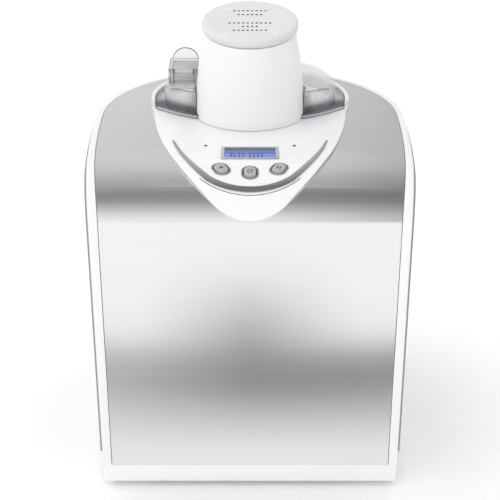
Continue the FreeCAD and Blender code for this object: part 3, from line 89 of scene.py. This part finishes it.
# Studio, in metres: the light on the machine, and the vault that the metal mirrors, with its
# levels as shares of the way from front to rear
FLOOR_SIZE = 14.0
MAIN_LIGHT, RIGHT_LIGHT = 1.62, 0.85
TENT_RADIUS, TENT_WIDTH, TENT_FOOT = 2.5, 8.0, 0.01
VAULT_LEVELS = ((0, 0.88), (0.12, 0.56), (0.33, 0.3), (0.6, 0.23), (0.85, 0.58), (1, 0.69))
VAULT_RIGHT_END, VAULT_RIGHT_LEVEL = 2.4, 0.08

# Card on the floor, a gap ahead of the machine, with its places in metres ahead of its near edge:
# its dark band falls from the level at the foot, stays dark for a stretch, and ends sooner at the
# sides than in the middle
CARD_GAP, CARD_LENGTH, CARD_WIDTH, CARD_LIFT = 0.00165, 2.3, 1.6, 0.0005
CARD_SIDE = 0.16
CARD_FALL, CARD_DARK_FROM, CARD_DARK_TO = 0.08, 0.11, 0.155
CARD_SIDE_END, CARD_MIDDLE_END = 0.205, 0.42
CARD_FOOT_LEVEL, CARD_FAR_LEVEL = 0.87, 0.99
CARD_LEFT_DARK, CARD_DARK = 0.45, 0.27

# Meshes: doubles in millimetres, angles in degrees
DOUBLES = 0.002
FLAT_ANGLE, BEVEL_ANGLE, SMOOTH_ANGLE, CREASE_ANGLE = 0.6, 32, 35, 50

# Grain of the surfaces: its noise detail, and its depth in millimetres
GRAIN_DETAIL, GRAIN_DEPTH = 3, 0.05

# Controls, in millimetres; a button's side is which way it is turned
BUTTONS = {"button_left": 1, "button_middle": 0, "button_right": -1}
BUTTON_RADIUS, BUTTON_STRAIGHT, BUTTON_TURN = 4.9, 2.2, 25
BUTTON_HEIGHT, BUTTON_PROUD = 6.0, 1.6

# Bands round a button: where they start and end beyond it, their rise above the panel, and their slot
SURROUNDS = {"ring": (1.0, 1.9, 0.6, "silver_plastic"), "joint": (0.42, 1.0, 0.3, "dark_plastic")}
SURROUND_DEPTH, SURROUND_SOFT = 0.4, 0.2

# Symbols on the buttons, in millimetres
SYMBOL_RADIUS, SYMBOL_HOLE, SYMBOL_THICK, SYMBOL_SINK = 2.2, 1.5, 0.3, 0.1
BAR_WIDTH, BAR_LENGTH, BAR_ASIDE = 0.9, 4, 1.1

# Bar digits on the display, in millimetres; each bar has its place in digit widths and half
# heights, and whether it stands upright
DIGIT_WIDTH, DIGIT_HEIGHT, DIGIT_STROKE, DIGIT_THICK, DIGIT_DROP = 3.6, 8.0, 0.9, 0.1, -4.5
DIGIT_PLACES = (-13.5, -7, 1.5, 8)
DIGITS = ("acdefg", "abcdef", "abcdef", "abcdef")
DIGIT_BARS = {
    "a": (0, 1, False), "b": (0.5, 0.5, True), "c": (0.5, -0.5, True), "d": (0, -1, False),
    "e": (-0.5, -0.5, True), "f": (-0.5, 0.5, True), "g": (0, 0, False),
}

# Clear lid, in millimetres: its edges, and the low front wall that carries painted shade for the
# dark inside seen through it, by its height above the lid's foot and its distance behind the lid's
# front; the shares are of that height
LID_EDGE = 0.3
LID_WALL, LID_WALL_BACK = (2.2, 13.6), (25.5, 55.5)
# painted shade of the low front wall: where it is strongest, and its colour
LID_SHADE_SHARES, LID_SHADE_COLOUR = (0.06, 0.45), (0.1, 0.1, 0.11, 0.62)

# Painted shade of a fine groove below the crescent, drawn as a dark rod, in millimetres: an
# ellipse in the plane that leans back by GROOVE_LEAN degrees, laid on the panel from GROOVE_START
GROOVE_LEAN, GROOVE_CENTRE, GROOVE_ACROSS, GROOVE_ALONG = 45, 145.9, 56, 61.1
GROOVE_HALF, GROOVE_WIDTH, GROOVE_START = 39, 0.3, 500

# Round lower edges at the sides of the base, how far these edges may draw in along it, and how
# flat its underside is, in millimetres; and how much further they run along it than across
BASE_ROUND, BASE_FLARE, BASE_FLAT = 5, 12, 0.1
BASE_RUN = 5

# Air holes in the cap and the lid's cut edge, as distances from the axis of the power head, and
# how far the faces that carry their painted shade stand out, in millimetres; and how far their
# walls may lean, as shares of a face's normal
VENT_REACH, LID_CUT_REACH, FACE_LIFT = 25, 54, 0.06
VENT_LEAN, LID_CUT_FACING = 0.4, 0.5

# Rounding of the moulded and pressed edges, in millimetres
EDGES = {
    "casing_shell": 1.4, "base_tray": 1.6, "side_panel_left": 1.3, "side_panel_right": 1.3,
    "front_panel": 0.25, "control_panel": 0.5, "trim_crescent": 0.25, "display_bezel": 0.3,
    "lid": 0.5, "hatch_flap": 0.5, "motor_housing": 0.6, "motor_cap": 0.45, "cap_screws": 0.3,
    "feet": 1.0, "rear_grille": 0.5, "power_inlet": 0.5, "button_left": 1.2, "button_middle": 1.2,
    "button_right": 1.2, "indicator_leds": 0.6, "display_window": 0.2, "inner_bowl": 0.35,
    "paddle": 1.0, "bowl_well": 0.35, "gear_tray": 0.3,
}


def pick(item):
    """Make one object the only selected and the active one, in object mode."""
    if bpy.context.object and bpy.context.object.mode != "OBJECT":
        bpy.ops.object.mode_set(mode="OBJECT")
    bpy.ops.object.select_all(action="DESELECT")
    item.select_set(True)
    bpy.context.view_layer.objects.active = item
    return item


def applied(item, kind, **settings):
    """Add one modifier and apply it."""
    pick(item)
    modifier = item.modifiers.new(kind.lower(), kind)
    for name, value in settings.items():
        setattr(modifier, name, value)
    bpy.ops.object.modifier_apply(modifier=modifier.name)
    return item


def smoothed(item):
    """Shade round stretches smooth and keep creases sharp."""
    pick(item)
    bpy.ops.object.shade_smooth_by_angle(angle=math.radians(SMOOTH_ANGLE))
    return item


def fixed(item):
    """Put a finished piece's place into its mesh."""
    pick(item)
    bpy.ops.object.transform_apply(location=True, rotation=True, scale=True)
    return item


def joined(items, name):
    """Make several objects one."""
    pick(items[0])
    for item in items[1:]:
        item.select_set(True)
    bpy.ops.object.join()
    items[0].name = name
    return items[0]


def worn_by(item, body, slot):
    """Let a piece move with a body, and give it its slot."""
    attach(item, body)
    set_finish(item, slot)
    return item


def merged_copy(node, name):
    """Copy of a CAD node with its loose triangles joined, left in edit mode with all selected."""
    item = bpy.data.objects.new(name, NODES[node].data.copy())
    bpy.context.scene.collection.objects.link(item)
    pick(item)
    bpy.ops.object.mode_set(mode="EDIT")
    bpy.ops.mesh.select_all(action="SELECT")
    bpy.ops.mesh.remove_doubles(threshold=DOUBLES * MM)
    return item


def rounded_below(item):
    """Round the two long edges at the sides of the base's underside."""
    low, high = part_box("base_tray")
    bpy.context.tool_settings.mesh_select_mode = (False, True, False)
    bpy.ops.object.mode_set(mode="EDIT")
    bpy.ops.mesh.select_all(action="DESELECT")
    bpy.ops.object.mode_set(mode="OBJECT")
    points = item.data.vertices
    for edge in item.data.edges:
        start, end = (points[index].co for index in edge.vertices)
        along = abs(end.y - start.y) > BASE_RUN * abs(end.x - start.x)
        below = max(start.z, end.z) < low[2] + BASE_FLAT * MM
        outer = min(abs(start.x), abs(end.x)) > high[0] - BASE_FLARE * MM
        edge.select = along and below and outer
    bpy.ops.object.mode_set(mode="EDIT")
    bpy.ops.mesh.bevel(offset=BASE_ROUND * MM, segments=6, affect="EDGES", clamp_overlap=True)
    bpy.ops.object.mode_set(mode="OBJECT")


def softened(node, width):
    """Copy of a CAD node with rounded edges, which stands for it."""
    item = merged_copy(node, node + "_dressed")
    bpy.ops.mesh.dissolve_limited(angle_limit=math.radians(FLAT_ANGLE))
    bpy.ops.mesh.normals_make_consistent(inside=False)
    bpy.ops.object.mode_set(mode="OBJECT")
    if node == "base_tray":
        rounded_below(item)
    applied(item, "BEVEL", width=width * MM, segments=3, limit_method="ANGLE",
            angle_limit=math.radians(BEVEL_ANGLE), use_clamp_overlap=True, miter_outer="MITER_ARC")
    smoothed(item)
    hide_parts(node)
    return worn_by(item, BODY_OF[node], SLOT_OF[node])


def camera():
    """Camera that sees the machine as the photo does."""
    turn = (math.radians(90 - CAMERA_TILT), 0, 0)
    bpy.ops.object.camera_add(location=CAMERA_PLACE, rotation=turn)
    eye = bpy.context.object
    eye.name = "photo_camera"
    eye.data.sensor_width = SENSOR
    eye.data.lens = FOCAL_PIXELS / PHOTO_PIXELS * SENSOR
    eye.data.clip_start = CLIP_START
    eye.data.clip_end = CLIP_END
    bpy.context.scene.camera = eye


def shaded(name, colour, roughness, metallic=0.0):
    """Material with one principled shader; gives both."""
    paint = bpy.data.materials.new(name)
    paint.use_nodes = True
    shader = paint.node_tree.nodes["Principled BSDF"]
    shader.inputs["Base Color"].default_value = (*colour, 1)
    shader.inputs["Roughness"].default_value = roughness
    shader.inputs["Metallic"].default_value = metallic
    return paint, shader


def own_place(tree):
    """A piece's own X, Y and Z, in metres."""
    where = tree.nodes.new("ShaderNodeTexCoord")
    split = tree.nodes.new("ShaderNodeSeparateXYZ")
    tree.links.new(where.outputs["Object"], split.inputs["Vector"])
    return split.outputs


def share_between(tree, value, start, end):
    """How far a value is on its way from one number to another, from 0 to 1."""
    span = tree.nodes.new("ShaderNodeMapRange")
    span.inputs["From Min"].default_value = start
    span.inputs["From Max"].default_value = end
    tree.links.new(value, span.inputs["Value"])
    return span.outputs["Result"]


def grained(paint, shader, stretch, dark, rough_span, relief):
    """Noise in the piece's own metres that varies tone, roughness and relief."""
    nodes, links = paint.node_tree.nodes, paint.node_tree.links
    where = nodes.new("ShaderNodeTexCoord")
    mapping = nodes.new("ShaderNodeMapping")
    mapping.inputs["Scale"].default_value = stretch
    noise = nodes.new("ShaderNodeTexNoise")
    noise.inputs["Scale"].default_value = 1
    noise.inputs["Detail"].default_value = GRAIN_DETAIL
    links.new(where.outputs["Object"], mapping.inputs["Vector"])
    links.new(mapping.outputs["Vector"], noise.inputs["Vector"])
    tone = nodes.new("ShaderNodeMix")
    tone.data_type = "RGBA"
    colour = shader.inputs["Base Color"].default_value[:3]
    tone.inputs["A"].default_value = (*(dark * part for part in colour), 1)
    tone.inputs["B"].default_value = (*colour, 1)
    links.new(noise.outputs["Fac"], tone.inputs["Factor"])
    links.new(tone.outputs["Result"], shader.inputs["Base Color"])
    rough = nodes.new("ShaderNodeMapRange")
    roughness = shader.inputs["Roughness"].default_value
    rough.inputs["To Min"].default_value = roughness - rough_span / 2
    rough.inputs["To Max"].default_value = roughness + rough_span / 2
    links.new(noise.outputs["Fac"], rough.inputs["Value"])
    links.new(rough.outputs["Result"], shader.inputs["Roughness"])
    bump = nodes.new("ShaderNodeBump")
    bump.inputs["Strength"].default_value = relief
    bump.inputs["Distance"].default_value = GRAIN_DEPTH * MM
    links.new(noise.outputs["Fac"], bump.inputs["Height"])
    links.new(bump.outputs["Normal"], shader.inputs["Normal"])
    return paint


def moulded(name, colour, roughness, metallic=0.0, size=0.8):
    """Moulded or painted surface with a fine even texture, its grain size in millimetres."""
    paint, shader = shaded(name, colour, roughness, metallic)
    pitch = 1 / (size * MM)
    return grained(paint, shader, stretch=(pitch, pitch, pitch), dark=0.96, rough_span=0.08, relief=0.15)


def matt(paint):
    """Take the shine off a surface."""
    paint.node_tree.nodes["Principled BSDF"].inputs["Specular IOR Level"].default_value = 0
    return paint


def brushed(name, colour, roughness):
    """Metal with fine scratches that run across the machine."""
    paint, shader = shaded(name, colour, roughness, metallic=1.0)
    return grained(paint, shader, stretch=(9, 1900, 1900), dark=0.93, rough_span=0.1, relief=0.35)


def clear(name, colour, cover):
    """See-through plastic; its cover is the share of light that it stops."""
    paint, shader = shaded(name, colour, roughness=0.05)
    shader.inputs["Alpha"].default_value = cover
    return grained(paint, shader, stretch=(60, 60, 60), dark=0.98, rough_span=0.03, relief=0.02)


def lid_painted_shade(paint, lid):
    """Paint shade on see-through plastic low at the front of the lid, for the dark inside seen through it.
    """
    tree = paint.node_tree
    shader = tree.nodes["Principled BSDF"]
    low = lid[0]
    plain = (*shader.inputs["Base Color"].default_value[:3], shader.inputs["Alpha"].default_value)
    place = own_place(tree)
    front, back = (low[1] + behind * MM for behind in LID_WALL_BACK)
    foot, top = (low[2] + height * MM for height in LID_WALL)
    raised = tree.nodes.new("ShaderNodeMath")
    raised.operation = "MULTIPLY_ADD"
    raised.inputs[1].default_value = top - foot
    tree.links.new(share_between(tree, place["Y"], front, back), raised.inputs[0])
    tree.links.new(place["Z"], raised.inputs[2])
    ramp = tree.nodes.new("ShaderNodeValToRGB")
    elements = ramp.color_ramp.elements
    elements[0].color = plain
    elements[1].color = plain
    # painted shade: a darker, denser colour on the low front wall
    for share in LID_SHADE_SHARES:
        elements.new(share).color = LID_SHADE_COLOUR
    tree.links.new(share_between(tree, raised.outputs["Value"], foot, top), ramp.inputs["Fac"])
    tree.links.new(ramp.outputs["Color"], shader.inputs["Base Color"])
    tree.links.new(ramp.outputs["Alpha"], shader.inputs["Alpha"])
    return paint


def display_with_painted_shadow(name, window):
    """Glowing blue display, dimmer towards the rear, where a shadow of the bezel's recess is painted."""
    low, high = window
    paint, shader = shaded(name, (0.02, 0.03, 0.06), roughness=0.25)
    tree = paint.node_tree
    ramp = tree.nodes.new("ShaderNodeValToRGB")
    bright, dim = ramp.color_ramp.elements
    bright.position = 0.38
    bright.color = (0.1, 0.2, 0.75, 1)
    # painted shadow of the bezel's recess, on the rear of the window
    dim.position = 0.52
    dim.color = (0.055, 0.07, 0.19, 1)
    tree.links.new(share_between(tree, own_place(tree)["Y"], low[1], high[1]), ramp.inputs["Fac"])
    tree.links.new(ramp.outputs["Color"], shader.inputs["Emission Color"])
    shader.inputs["Emission Strength"].default_value = 1
    return paint


def finishes():
    """One material for each slot of the record."""
    lid_plastic = clear("clear_plastic", (0.88, 0.87, 0.87), 0.32)
    return {
        "white_shell": moulded("white_shell", (0.865, 0.865, 0.865), 0.38),
        "brushed_steel": brushed("brushed_steel", (0.93, 0.93, 0.935), 0.2),
        "silver_plastic": matt(moulded("silver_plastic", (0.33, 0.33, 0.335), 0.6)),
        "silver_trim": brushed("silver_trim", (0.62, 0.62, 0.63), 0.22),
        "clear_plastic": lid_painted_shade(lid_plastic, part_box("lid")),
        "display_blue": display_with_painted_shadow("display_blue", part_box("display_window")),
        "button_grey": moulded("button_grey", (0.42, 0.42, 0.43), 0.45),
        "indicator": moulded("indicator", (0.05, 0.05, 0.05), 0.2),
        "foot_rubber": moulded("foot_rubber", (0.96, 0.96, 0.96), 0.7),
        "bowl_aluminium": brushed("bowl_aluminium", (0.2, 0.2, 0.215), 0.4),
        "well_aluminium": brushed("well_aluminium", (0.55, 0.55, 0.56), 0.45),
        "copper": moulded("copper", (0.72, 0.36, 0.2), 0.3, metallic=1.0),
        "foam": moulded("foam", (0.8, 0.72, 0.45), 0.9, size=3.0),
        "dark_metal": moulded("dark_metal", (0.03, 0.03, 0.035), 0.4),
        "galvanised": moulded("galvanised", (0.45, 0.46, 0.47), 0.45, metallic=0.8, size=4.0),
        "dark_plastic": moulded("dark_plastic", (0.05, 0.05, 0.055), 0.55),
        "circuit_green": moulded("circuit_green", (0.03, 0.18, 0.08), 0.4, size=2.0),
        "gear_nylon": moulded("gear_nylon", (0.82, 0.8, 0.72), 0.5),
        "seal_rubber": moulded("seal_rubber", (0.2, 0.2, 0.21), 0.75),
        "paddle_white": moulded("paddle_white", (0.85, 0.85, 0.83), 0.4),
        "shaft_steel": brushed("shaft_steel", (0.55, 0.55, 0.56), 0.3),
    }


def painted(item, paint):
    """Give a piece its one material."""
    item.data.materials.clear()
    item.data.materials.append(paint)


def lathe(name, rings, sides=64):
    """Rings of (radius, height) in millimetres round the origin, each drawn out of the last one."""
    radius, height = rings[0]
    bpy.ops.mesh.primitive_circle_add(vertices=sides, radius=radius * MM, location=(0, 0, height * MM))
    item = bpy.context.object
    item.name = name
    fixed(item)
    bpy.ops.object.mode_set(mode="EDIT")
    bpy.ops.mesh.select_all(action="SELECT")
    for next_radius, next_height in rings[1:]:
        rise = (0, 0, (next_height - height) * MM)
        bpy.ops.mesh.extrude_edges_move(TRANSFORM_OT_translate={"value": rise})
        share = next_radius / radius
        bpy.ops.transform.resize(value=(share, share, 1), center_override=(0, 0, next_height * MM))
        radius, height = next_radius, next_height
    bpy.ops.mesh.select_all(action="SELECT")
    bpy.ops.mesh.remove_doubles(threshold=DOUBLES * MM)
    bpy.ops.mesh.normals_make_consistent(inside=False)
    bpy.ops.object.mode_set(mode="OBJECT")
    return smoothed(item)


def stretched(item, half):
    """Pull the two halves of a round piece apart along Y, so that it becomes an oval."""
    bpy.context.tool_settings.mesh_select_mode = (True, False, False)
    for sign in (1, -1):
        pick(item)
        bpy.ops.object.mode_set(mode="EDIT")
        bpy.ops.mesh.select_all(action="DESELECT")
        bpy.ops.object.mode_set(mode="OBJECT")
        for vertex in item.data.vertices:
            vertex.select = sign * vertex.co.y > DOUBLES * MM
        bpy.ops.object.mode_set(mode="EDIT")
        bpy.ops.transform.translate(value=(0, sign * half * MM, 0))
        bpy.ops.object.mode_set(mode="OBJECT")
    return item


def seated(item, node, lift, turn):
    """Set a piece square to the panel at a button, at a height above the middle of that button."""
    joint = next(row for row in RECORD["behaviour"]["joints"] if row["child"] == BODY_OF[node])
    normal = -Vector(joint["axis"])
    low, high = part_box(node)
    item.location = (Vector(low) + Vector(high)) / 2 + normal * lift * MM
    item.rotation_mode = "ZYX"
    item.rotation_euler = (math.atan2(-normal.y, normal.z), 0, math.radians(turn))
    return fixed(item)


def surround(node, label):
    """Oval band round one button, with soft upper edges."""
    near, far, rise, slot = SURROUNDS[label]
    inner, outer = BUTTON_RADIUS + near, BUTTON_RADIUS + far
    shoulder = rise - SURROUND_SOFT
    rings = [
        (inner, -SURROUND_DEPTH), (inner, shoulder), (inner + SURROUND_SOFT, rise),
        (outer - SURROUND_SOFT, rise), (outer, shoulder), (outer, -SURROUND_DEPTH),
        (inner, -SURROUND_DEPTH),
    ]
    band = stretched(lathe("%s_%s" % (node, label), rings), BUTTON_STRAIGHT)
    seated(band, node, BUTTON_HEIGHT / 2 - BUTTON_PROUD, BUTTONS[node] * BUTTON_TURN)
    return worn_by(band, "housing", slot)


def start_symbol():
    """Triangle."""
    bpy.ops.mesh.primitive_cylinder_add(vertices=3, radius=SYMBOL_RADIUS * MM, depth=SYMBOL_THICK * MM)
    item = bpy.context.object
    item.name = "symbol_start"
    return item


def power_symbol():
    """Ring."""
    half = SYMBOL_THICK / 2
    rings = [(SYMBOL_HOLE, -half), (SYMBOL_HOLE, half), (SYMBOL_RADIUS, half), (SYMBOL_RADIUS, -half),
             (SYMBOL_HOLE, -half)]
    return lathe("symbol_power", rings, sides=32)


def pause_symbol():
    """Two bars."""
    bars = []
    for side in (-1, 1):
        bpy.ops.mesh.primitive_cube_add(size=1, location=(side * BAR_ASIDE * MM, 0, 0),
                                        scale=(BAR_WIDTH * MM, BAR_LENGTH * MM, SYMBOL_THICK * MM))
        bars.append(bpy.context.object)
    return joined(bars, "symbol_pause")


def button_symbols():
    """One symbol on each button."""
    symbols = [start_symbol(), power_symbol(), pause_symbol()]
    for item, (node, side) in zip(symbols, BUTTONS.items()):
        fixed(item)
        seated(item, node, BUTTON_HEIGHT / 2 - SYMBOL_SINK, side * BUTTON_TURN)
        worn_by(item, BODY_OF[node], "dark_plastic")
    return symbols


def display_digits():
    """Time left, in plain bar digits on the window."""
    low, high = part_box("display_window")
    middle = (Vector(low) + Vector(high)) / 2
    strokes = []
    for place, lit in zip(DIGIT_PLACES, DIGITS):
        for bar in lit:
            across, along, upright = DIGIT_BARS[bar]
            width, length = (DIGIT_STROKE, DIGIT_HEIGHT / 2) if upright else (DIGIT_WIDTH, DIGIT_STROKE)
            spot = (middle.x + (place + across * DIGIT_WIDTH) * MM,
                    middle.y + (DIGIT_DROP + along * DIGIT_HEIGHT / 2) * MM, high[2])
            bpy.ops.mesh.primitive_cube_add(size=1, location=spot,
                                            scale=(width * MM, length * MM, DIGIT_THICK * MM))
            strokes.append(bpy.context.object)
    digits = joined(strokes, "display_digits")
    return worn_by(fixed(digits), "housing", "display_blue")


def faces_of(node, name, kept):
    """Those faces of a CAD node that a test keeps, drawn a little outwards."""
    item = merged_copy(node, name)
    bpy.ops.mesh.normals_make_consistent(inside=False)
    bpy.ops.mesh.select_all(action="DESELECT")
    bpy.context.tool_settings.mesh_select_mode = (False, False, True)
    bpy.ops.object.mode_set(mode="OBJECT")
    for face in item.data.polygons:
        face.select = not kept(face)
    bpy.ops.object.mode_set(mode="EDIT")
    bpy.ops.mesh.delete(type="FACE")
    bpy.ops.mesh.select_all(action="SELECT")
    bpy.ops.transform.shrink_fatten(value=FACE_LIFT * MM)
    bpy.ops.object.mode_set(mode="OBJECT")
    return worn_by(smoothed(item), BODY_OF[node], SLOT_OF[node])


def head_axis():
    """Place of the power head's axis, from the box of its cap."""
    low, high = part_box("motor_cap")
    return Vector(((low[0] + high[0]) / 2, (low[1] + high[1]) / 2, 0))


def painted_vent_shade():
    """Painted shade in the air holes: dark faces laid over their walls."""
    middle = head_axis()

    def in_hole(face):
        return abs(face.normal.z) < VENT_LEAN and (face.center - middle).xy.length < VENT_REACH * MM

    return faces_of("motor_cap", "painted_vent_shade", in_hole)


def lid_cut():
    """Cut edge of the lid, next to the power head, as faces that carry painted shade."""
    middle = head_axis()

    def on_cut(face):
        outward = (face.center - middle).xy
        inwards = face.normal.xy.dot(outward.normalized()) < -LID_CUT_FACING
        return inwards and outward.length < LID_CUT_REACH * MM

    return faces_of("lid", "lid_cut", on_cut)


def drawn(item, radius):
    """Make the edges of a mesh round rods."""
    pick(item)
    bpy.ops.object.convert(target="CURVE")
    rods = bpy.context.object
    rods.data.bevel_depth = radius * MM
    rods.data.bevel_resolution = 1
    bpy.ops.object.convert(target="MESH")
    return smoothed(bpy.context.object)


def clear_edges(node):
    """Rods along the sharp edges of a clear piece, which carry the painted shade that its edges show."""
    item = merged_copy(node, node + "_edges")
    bpy.ops.mesh.select_all(action="DESELECT")
    bpy.context.tool_settings.mesh_select_mode = (False, True, False)
    bpy.ops.mesh.edges_select_sharp(sharpness=math.radians(CREASE_ANGLE))
    bpy.ops.mesh.duplicate()
    bpy.ops.mesh.select_all(action="INVERT")
    bpy.ops.mesh.delete(type="VERT")
    bpy.ops.object.mode_set(mode="OBJECT")
    return worn_by(drawn(item, LID_EDGE), BODY_OF[node], SLOT_OF[node])


def painted_groove_shade():
    """Dark rod along the lower edge of the crescent: painted shade of a fine groove there."""
    bpy.ops.mesh.primitive_circle_add(vertices=180, radius=MM, location=(0, 0, 0))
    groove = bpy.context.object
    groove.name = "painted_groove_shade"
    bpy.ops.object.mode_set(mode="EDIT")
    bpy.ops.mesh.select_all(action="SELECT")
    bpy.ops.transform.resize(value=(GROOVE_ACROSS, GROOVE_ALONG, 1), center_override=(0, 0, 0))
    bpy.ops.transform.translate(value=(0, GROOVE_CENTRE * MM, GROOVE_START * MM))
    half = GROOVE_HALF * MM
    cuts = (((0, GROOVE_CENTRE * MM, 0), (0, 1, 0)), ((half, 0, 0), (1, 0, 0)), ((-half, 0, 0), (-1, 0, 0)))
    for spot, facing in cuts:
        bpy.ops.mesh.select_all(action="SELECT")
        bpy.ops.mesh.bisect(plane_co=spot, plane_no=facing, clear_outer=True)
    bpy.ops.object.mode_set(mode="OBJECT")
    groove.rotation_euler = (math.radians(GROOVE_LEAN), 0, 0)
    bpy.context.view_layer.update()
    applied(groove, "SHRINKWRAP", target=NODES["control_panel"], wrap_method="PROJECT",
            use_project_z=True, use_negative_direction=True, use_positive_direction=False)
    fixed(groove)
    # painted shade of the groove, in dark plastic
    return worn_by(drawn(groove, GROOVE_WIDTH), BODY_OF["control_panel"], "dark_plastic")


def level_ramp(tree, stops):
    """Grey ramp through stops of (share, level)."""
    ramp = tree.nodes.new("ShaderNodeValToRGB")
    elements = ramp.color_ramp.elements
    while len(elements) < len(stops):
        elements.new(0.5)
    for element, (share, level) in zip(elements, stops):
        element.position = share
        element.color = (level, level, level, 1)
    return ramp


def glow(name, near, far, columns):
    """Light that varies along the machine's depth, and from column to column across it."""
    paint = bpy.data.materials.new(name)
    paint.use_nodes = True
    tree = paint.node_tree
    tree.nodes.clear()
    place = own_place(tree)
    along = share_between(tree, place["Y"], near, far)
    shown, last_spot = None, 0
    for spot, stops in columns:
        ramp = level_ramp(tree, stops)
        tree.links.new(along, ramp.inputs["Fac"])
        if shown is None:
            shown = ramp.outputs["Color"]
        else:
            blend = tree.nodes.new("ShaderNodeMix")
            blend.data_type = "RGBA"
            tree.links.new(share_between(tree, place["X"], last_spot, spot), blend.inputs["Factor"])
            tree.links.new(shown, blend.inputs["A"])
            tree.links.new(ramp.outputs["Color"], blend.inputs["B"])
            shown = blend.outputs["Result"]
        last_spot = spot
    light = tree.nodes.new("ShaderNodeEmission")
    output = tree.nodes.new("ShaderNodeOutputMaterial")
    tree.links.new(shown, light.inputs["Color"])
    tree.links.new(light.outputs["Emission"], output.inputs["Surface"])
    return paint


def mirrored_only(item):
    """Let a card show in reflections and throw no shadow."""
    item.visible_camera = False
    item.visible_diffuse = False
    item.visible_transmission = False
    item.visible_volume_scatter = False
    item.visible_shadow = False


def floor():
    """Plain pale floor."""
    bpy.ops.mesh.primitive_plane_add(size=FLOOR_SIZE, location=(0, 0, 0))
    ground = bpy.context.object
    ground.name = "floor"
    painted(ground, matt(moulded("floor_white", (0.98, 0.98, 0.98), 0.9, size=40.0)))


def tent():
    """Vault over the machine, light at the front and dark overhead, that the metal mirrors."""
    bpy.ops.mesh.primitive_cylinder_add(vertices=64, radius=TENT_RADIUS, depth=TENT_WIDTH,
                                        end_fill_type="NOTHING", location=(0, 0, 0),
                                        rotation=(0, math.radians(90), 0))
    vault = bpy.context.object
    vault.name = "reflection_vault"
    fixed(vault)
    bpy.ops.object.mode_set(mode="EDIT")
    bpy.ops.mesh.select_all(action="SELECT")
    bpy.ops.mesh.bisect(plane_co=(0, 0, TENT_FOOT), plane_no=(0, 0, 1), clear_inner=True)
    bpy.ops.object.mode_set(mode="OBJECT")
    dim = ((0, VAULT_RIGHT_LEVEL), (1, VAULT_RIGHT_LEVEL))
    columns = ((0, VAULT_LEVELS), (VAULT_RIGHT_END, dim))
    painted(vault, glow("vault_glow", -TENT_RADIUS, TENT_RADIUS, columns))
    mirrored_only(vault)


def card_stops(dark, end):
    """Levels along the card, from the machine's foot over the dark band to the far end."""
    stops = ((CARD_DARK_FROM - CARD_FALL, CARD_FOOT_LEVEL), (CARD_DARK_FROM, dark),
             (CARD_DARK_TO, dark), (end, CARD_FAR_LEVEL))
    return [(ahead / CARD_LENGTH, level) for ahead, level in stops]


def front_card():
    """Grey card on the floor ahead of the machine, mirrored as the soft band low on the steel."""
    near = cad_bounds[0][1] - CARD_GAP
    far = near - CARD_LENGTH
    bpy.ops.mesh.primitive_plane_add(size=1, location=(0, (near + far) / 2, CARD_LIFT))
    card = bpy.context.object
    card.name = "front_card"
    card.scale = (CARD_WIDTH, CARD_LENGTH, 1)
    fixed(card)
    columns = (
        (-CARD_SIDE, card_stops(CARD_LEFT_DARK, CARD_SIDE_END)),
        (0, card_stops(CARD_DARK, CARD_MIDDLE_END)),
        (CARD_SIDE, card_stops(CARD_DARK, CARD_SIDE_END)),
    )
    painted(card, glow("card_glow", near, far, columns))
    mirrored_only(card)


def seen_directly(tree):
    """1 for rays that come from the camera, a mirror or through glass, and 0 for the others."""
    path = tree.nodes.new("ShaderNodeLightPath")
    shown = path.outputs["Is Camera Ray"]
    for kind in ("Is Glossy Ray", "Is Transmission Ray"):
        either = tree.nodes.new("ShaderNodeMath")
        either.operation = "MAXIMUM"
        tree.links.new(shown, either.inputs[0])
        tree.links.new(path.outputs[kind], either.inputs[1])
        shown = either.outputs["Value"]
    return shown


def world():
    """White backdrop; the light that falls on the machine is weaker from the right."""
    sky = bpy.data.worlds.new("studio")
    bpy.context.scene.world = sky
    sky.use_nodes = True
    nodes, links = sky.node_tree.nodes, sky.node_tree.links
    nodes.clear()
    where = nodes.new("ShaderNodeTexCoord")
    split = nodes.new("ShaderNodeSeparateXYZ")
    side = nodes.new("ShaderNodeMapRange")
    side.interpolation_type = "SMOOTHSTEP"
    side.inputs["To Min"].default_value = MAIN_LIGHT
    side.inputs["To Max"].default_value = RIGHT_LIGHT
    lit = nodes.new("ShaderNodeBackground")
    white = nodes.new("ShaderNodeBackground")
    white.inputs["Color"].default_value = (1, 1, 1, 1)
    white.inputs["Strength"].default_value = 1
    mix = nodes.new("ShaderNodeMixShader")
    output = nodes.new("ShaderNodeOutputWorld")
    links.new(where.outputs["Generated"], split.inputs["Vector"])
    links.new(split.outputs["X"], side.inputs["Value"])
    links.new(side.outputs["Result"], lit.inputs["Strength"])
    links.new(seen_directly(sky.node_tree), mix.inputs["Fac"])
    links.new(lit.outputs["Background"], mix.inputs[1])
    links.new(white.outputs["Background"], mix.inputs[2])
    links.new(mix.outputs["Shader"], output.inputs["Surface"])
    bpy.context.scene.view_settings.view_transform = "Standard"


camera()
world()
floor()
tent()
front_card()
dressed = {node: softened(node, width) for node, width in EDGES.items()}
paints = finishes()
for pieces in (NODES, dressed):
    for node, item in pieces.items():
        painted(item, paints[SLOT_OF[node]])
surrounds = [surround(node, label) for node in BUTTONS for label in SURROUNDS]
for item in surrounds + button_symbols() + [painted_groove_shade()]:
    painted(item, paints[item["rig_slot"]])
# painted shade in the air holes of the cap
painted(painted_vent_shade(), paints["dark_plastic"])
# painted shade: a dark see-through colour on the lid's edges and its cut edge
edge_shade = clear("edge_shade", (0.13, 0.12, 0.24), 0.6)
for item in (clear_edges("lid"), clear_edges("hatch_flap"), lid_cut()):
    painted(item, edge_shade)
painted(dressed["motor_cap"], moulded("cap_white", (0.72, 0.72, 0.72), 0.42))
painted(display_digits(), moulded("digit_dark", (0.02, 0.03, 0.12), 0.4))
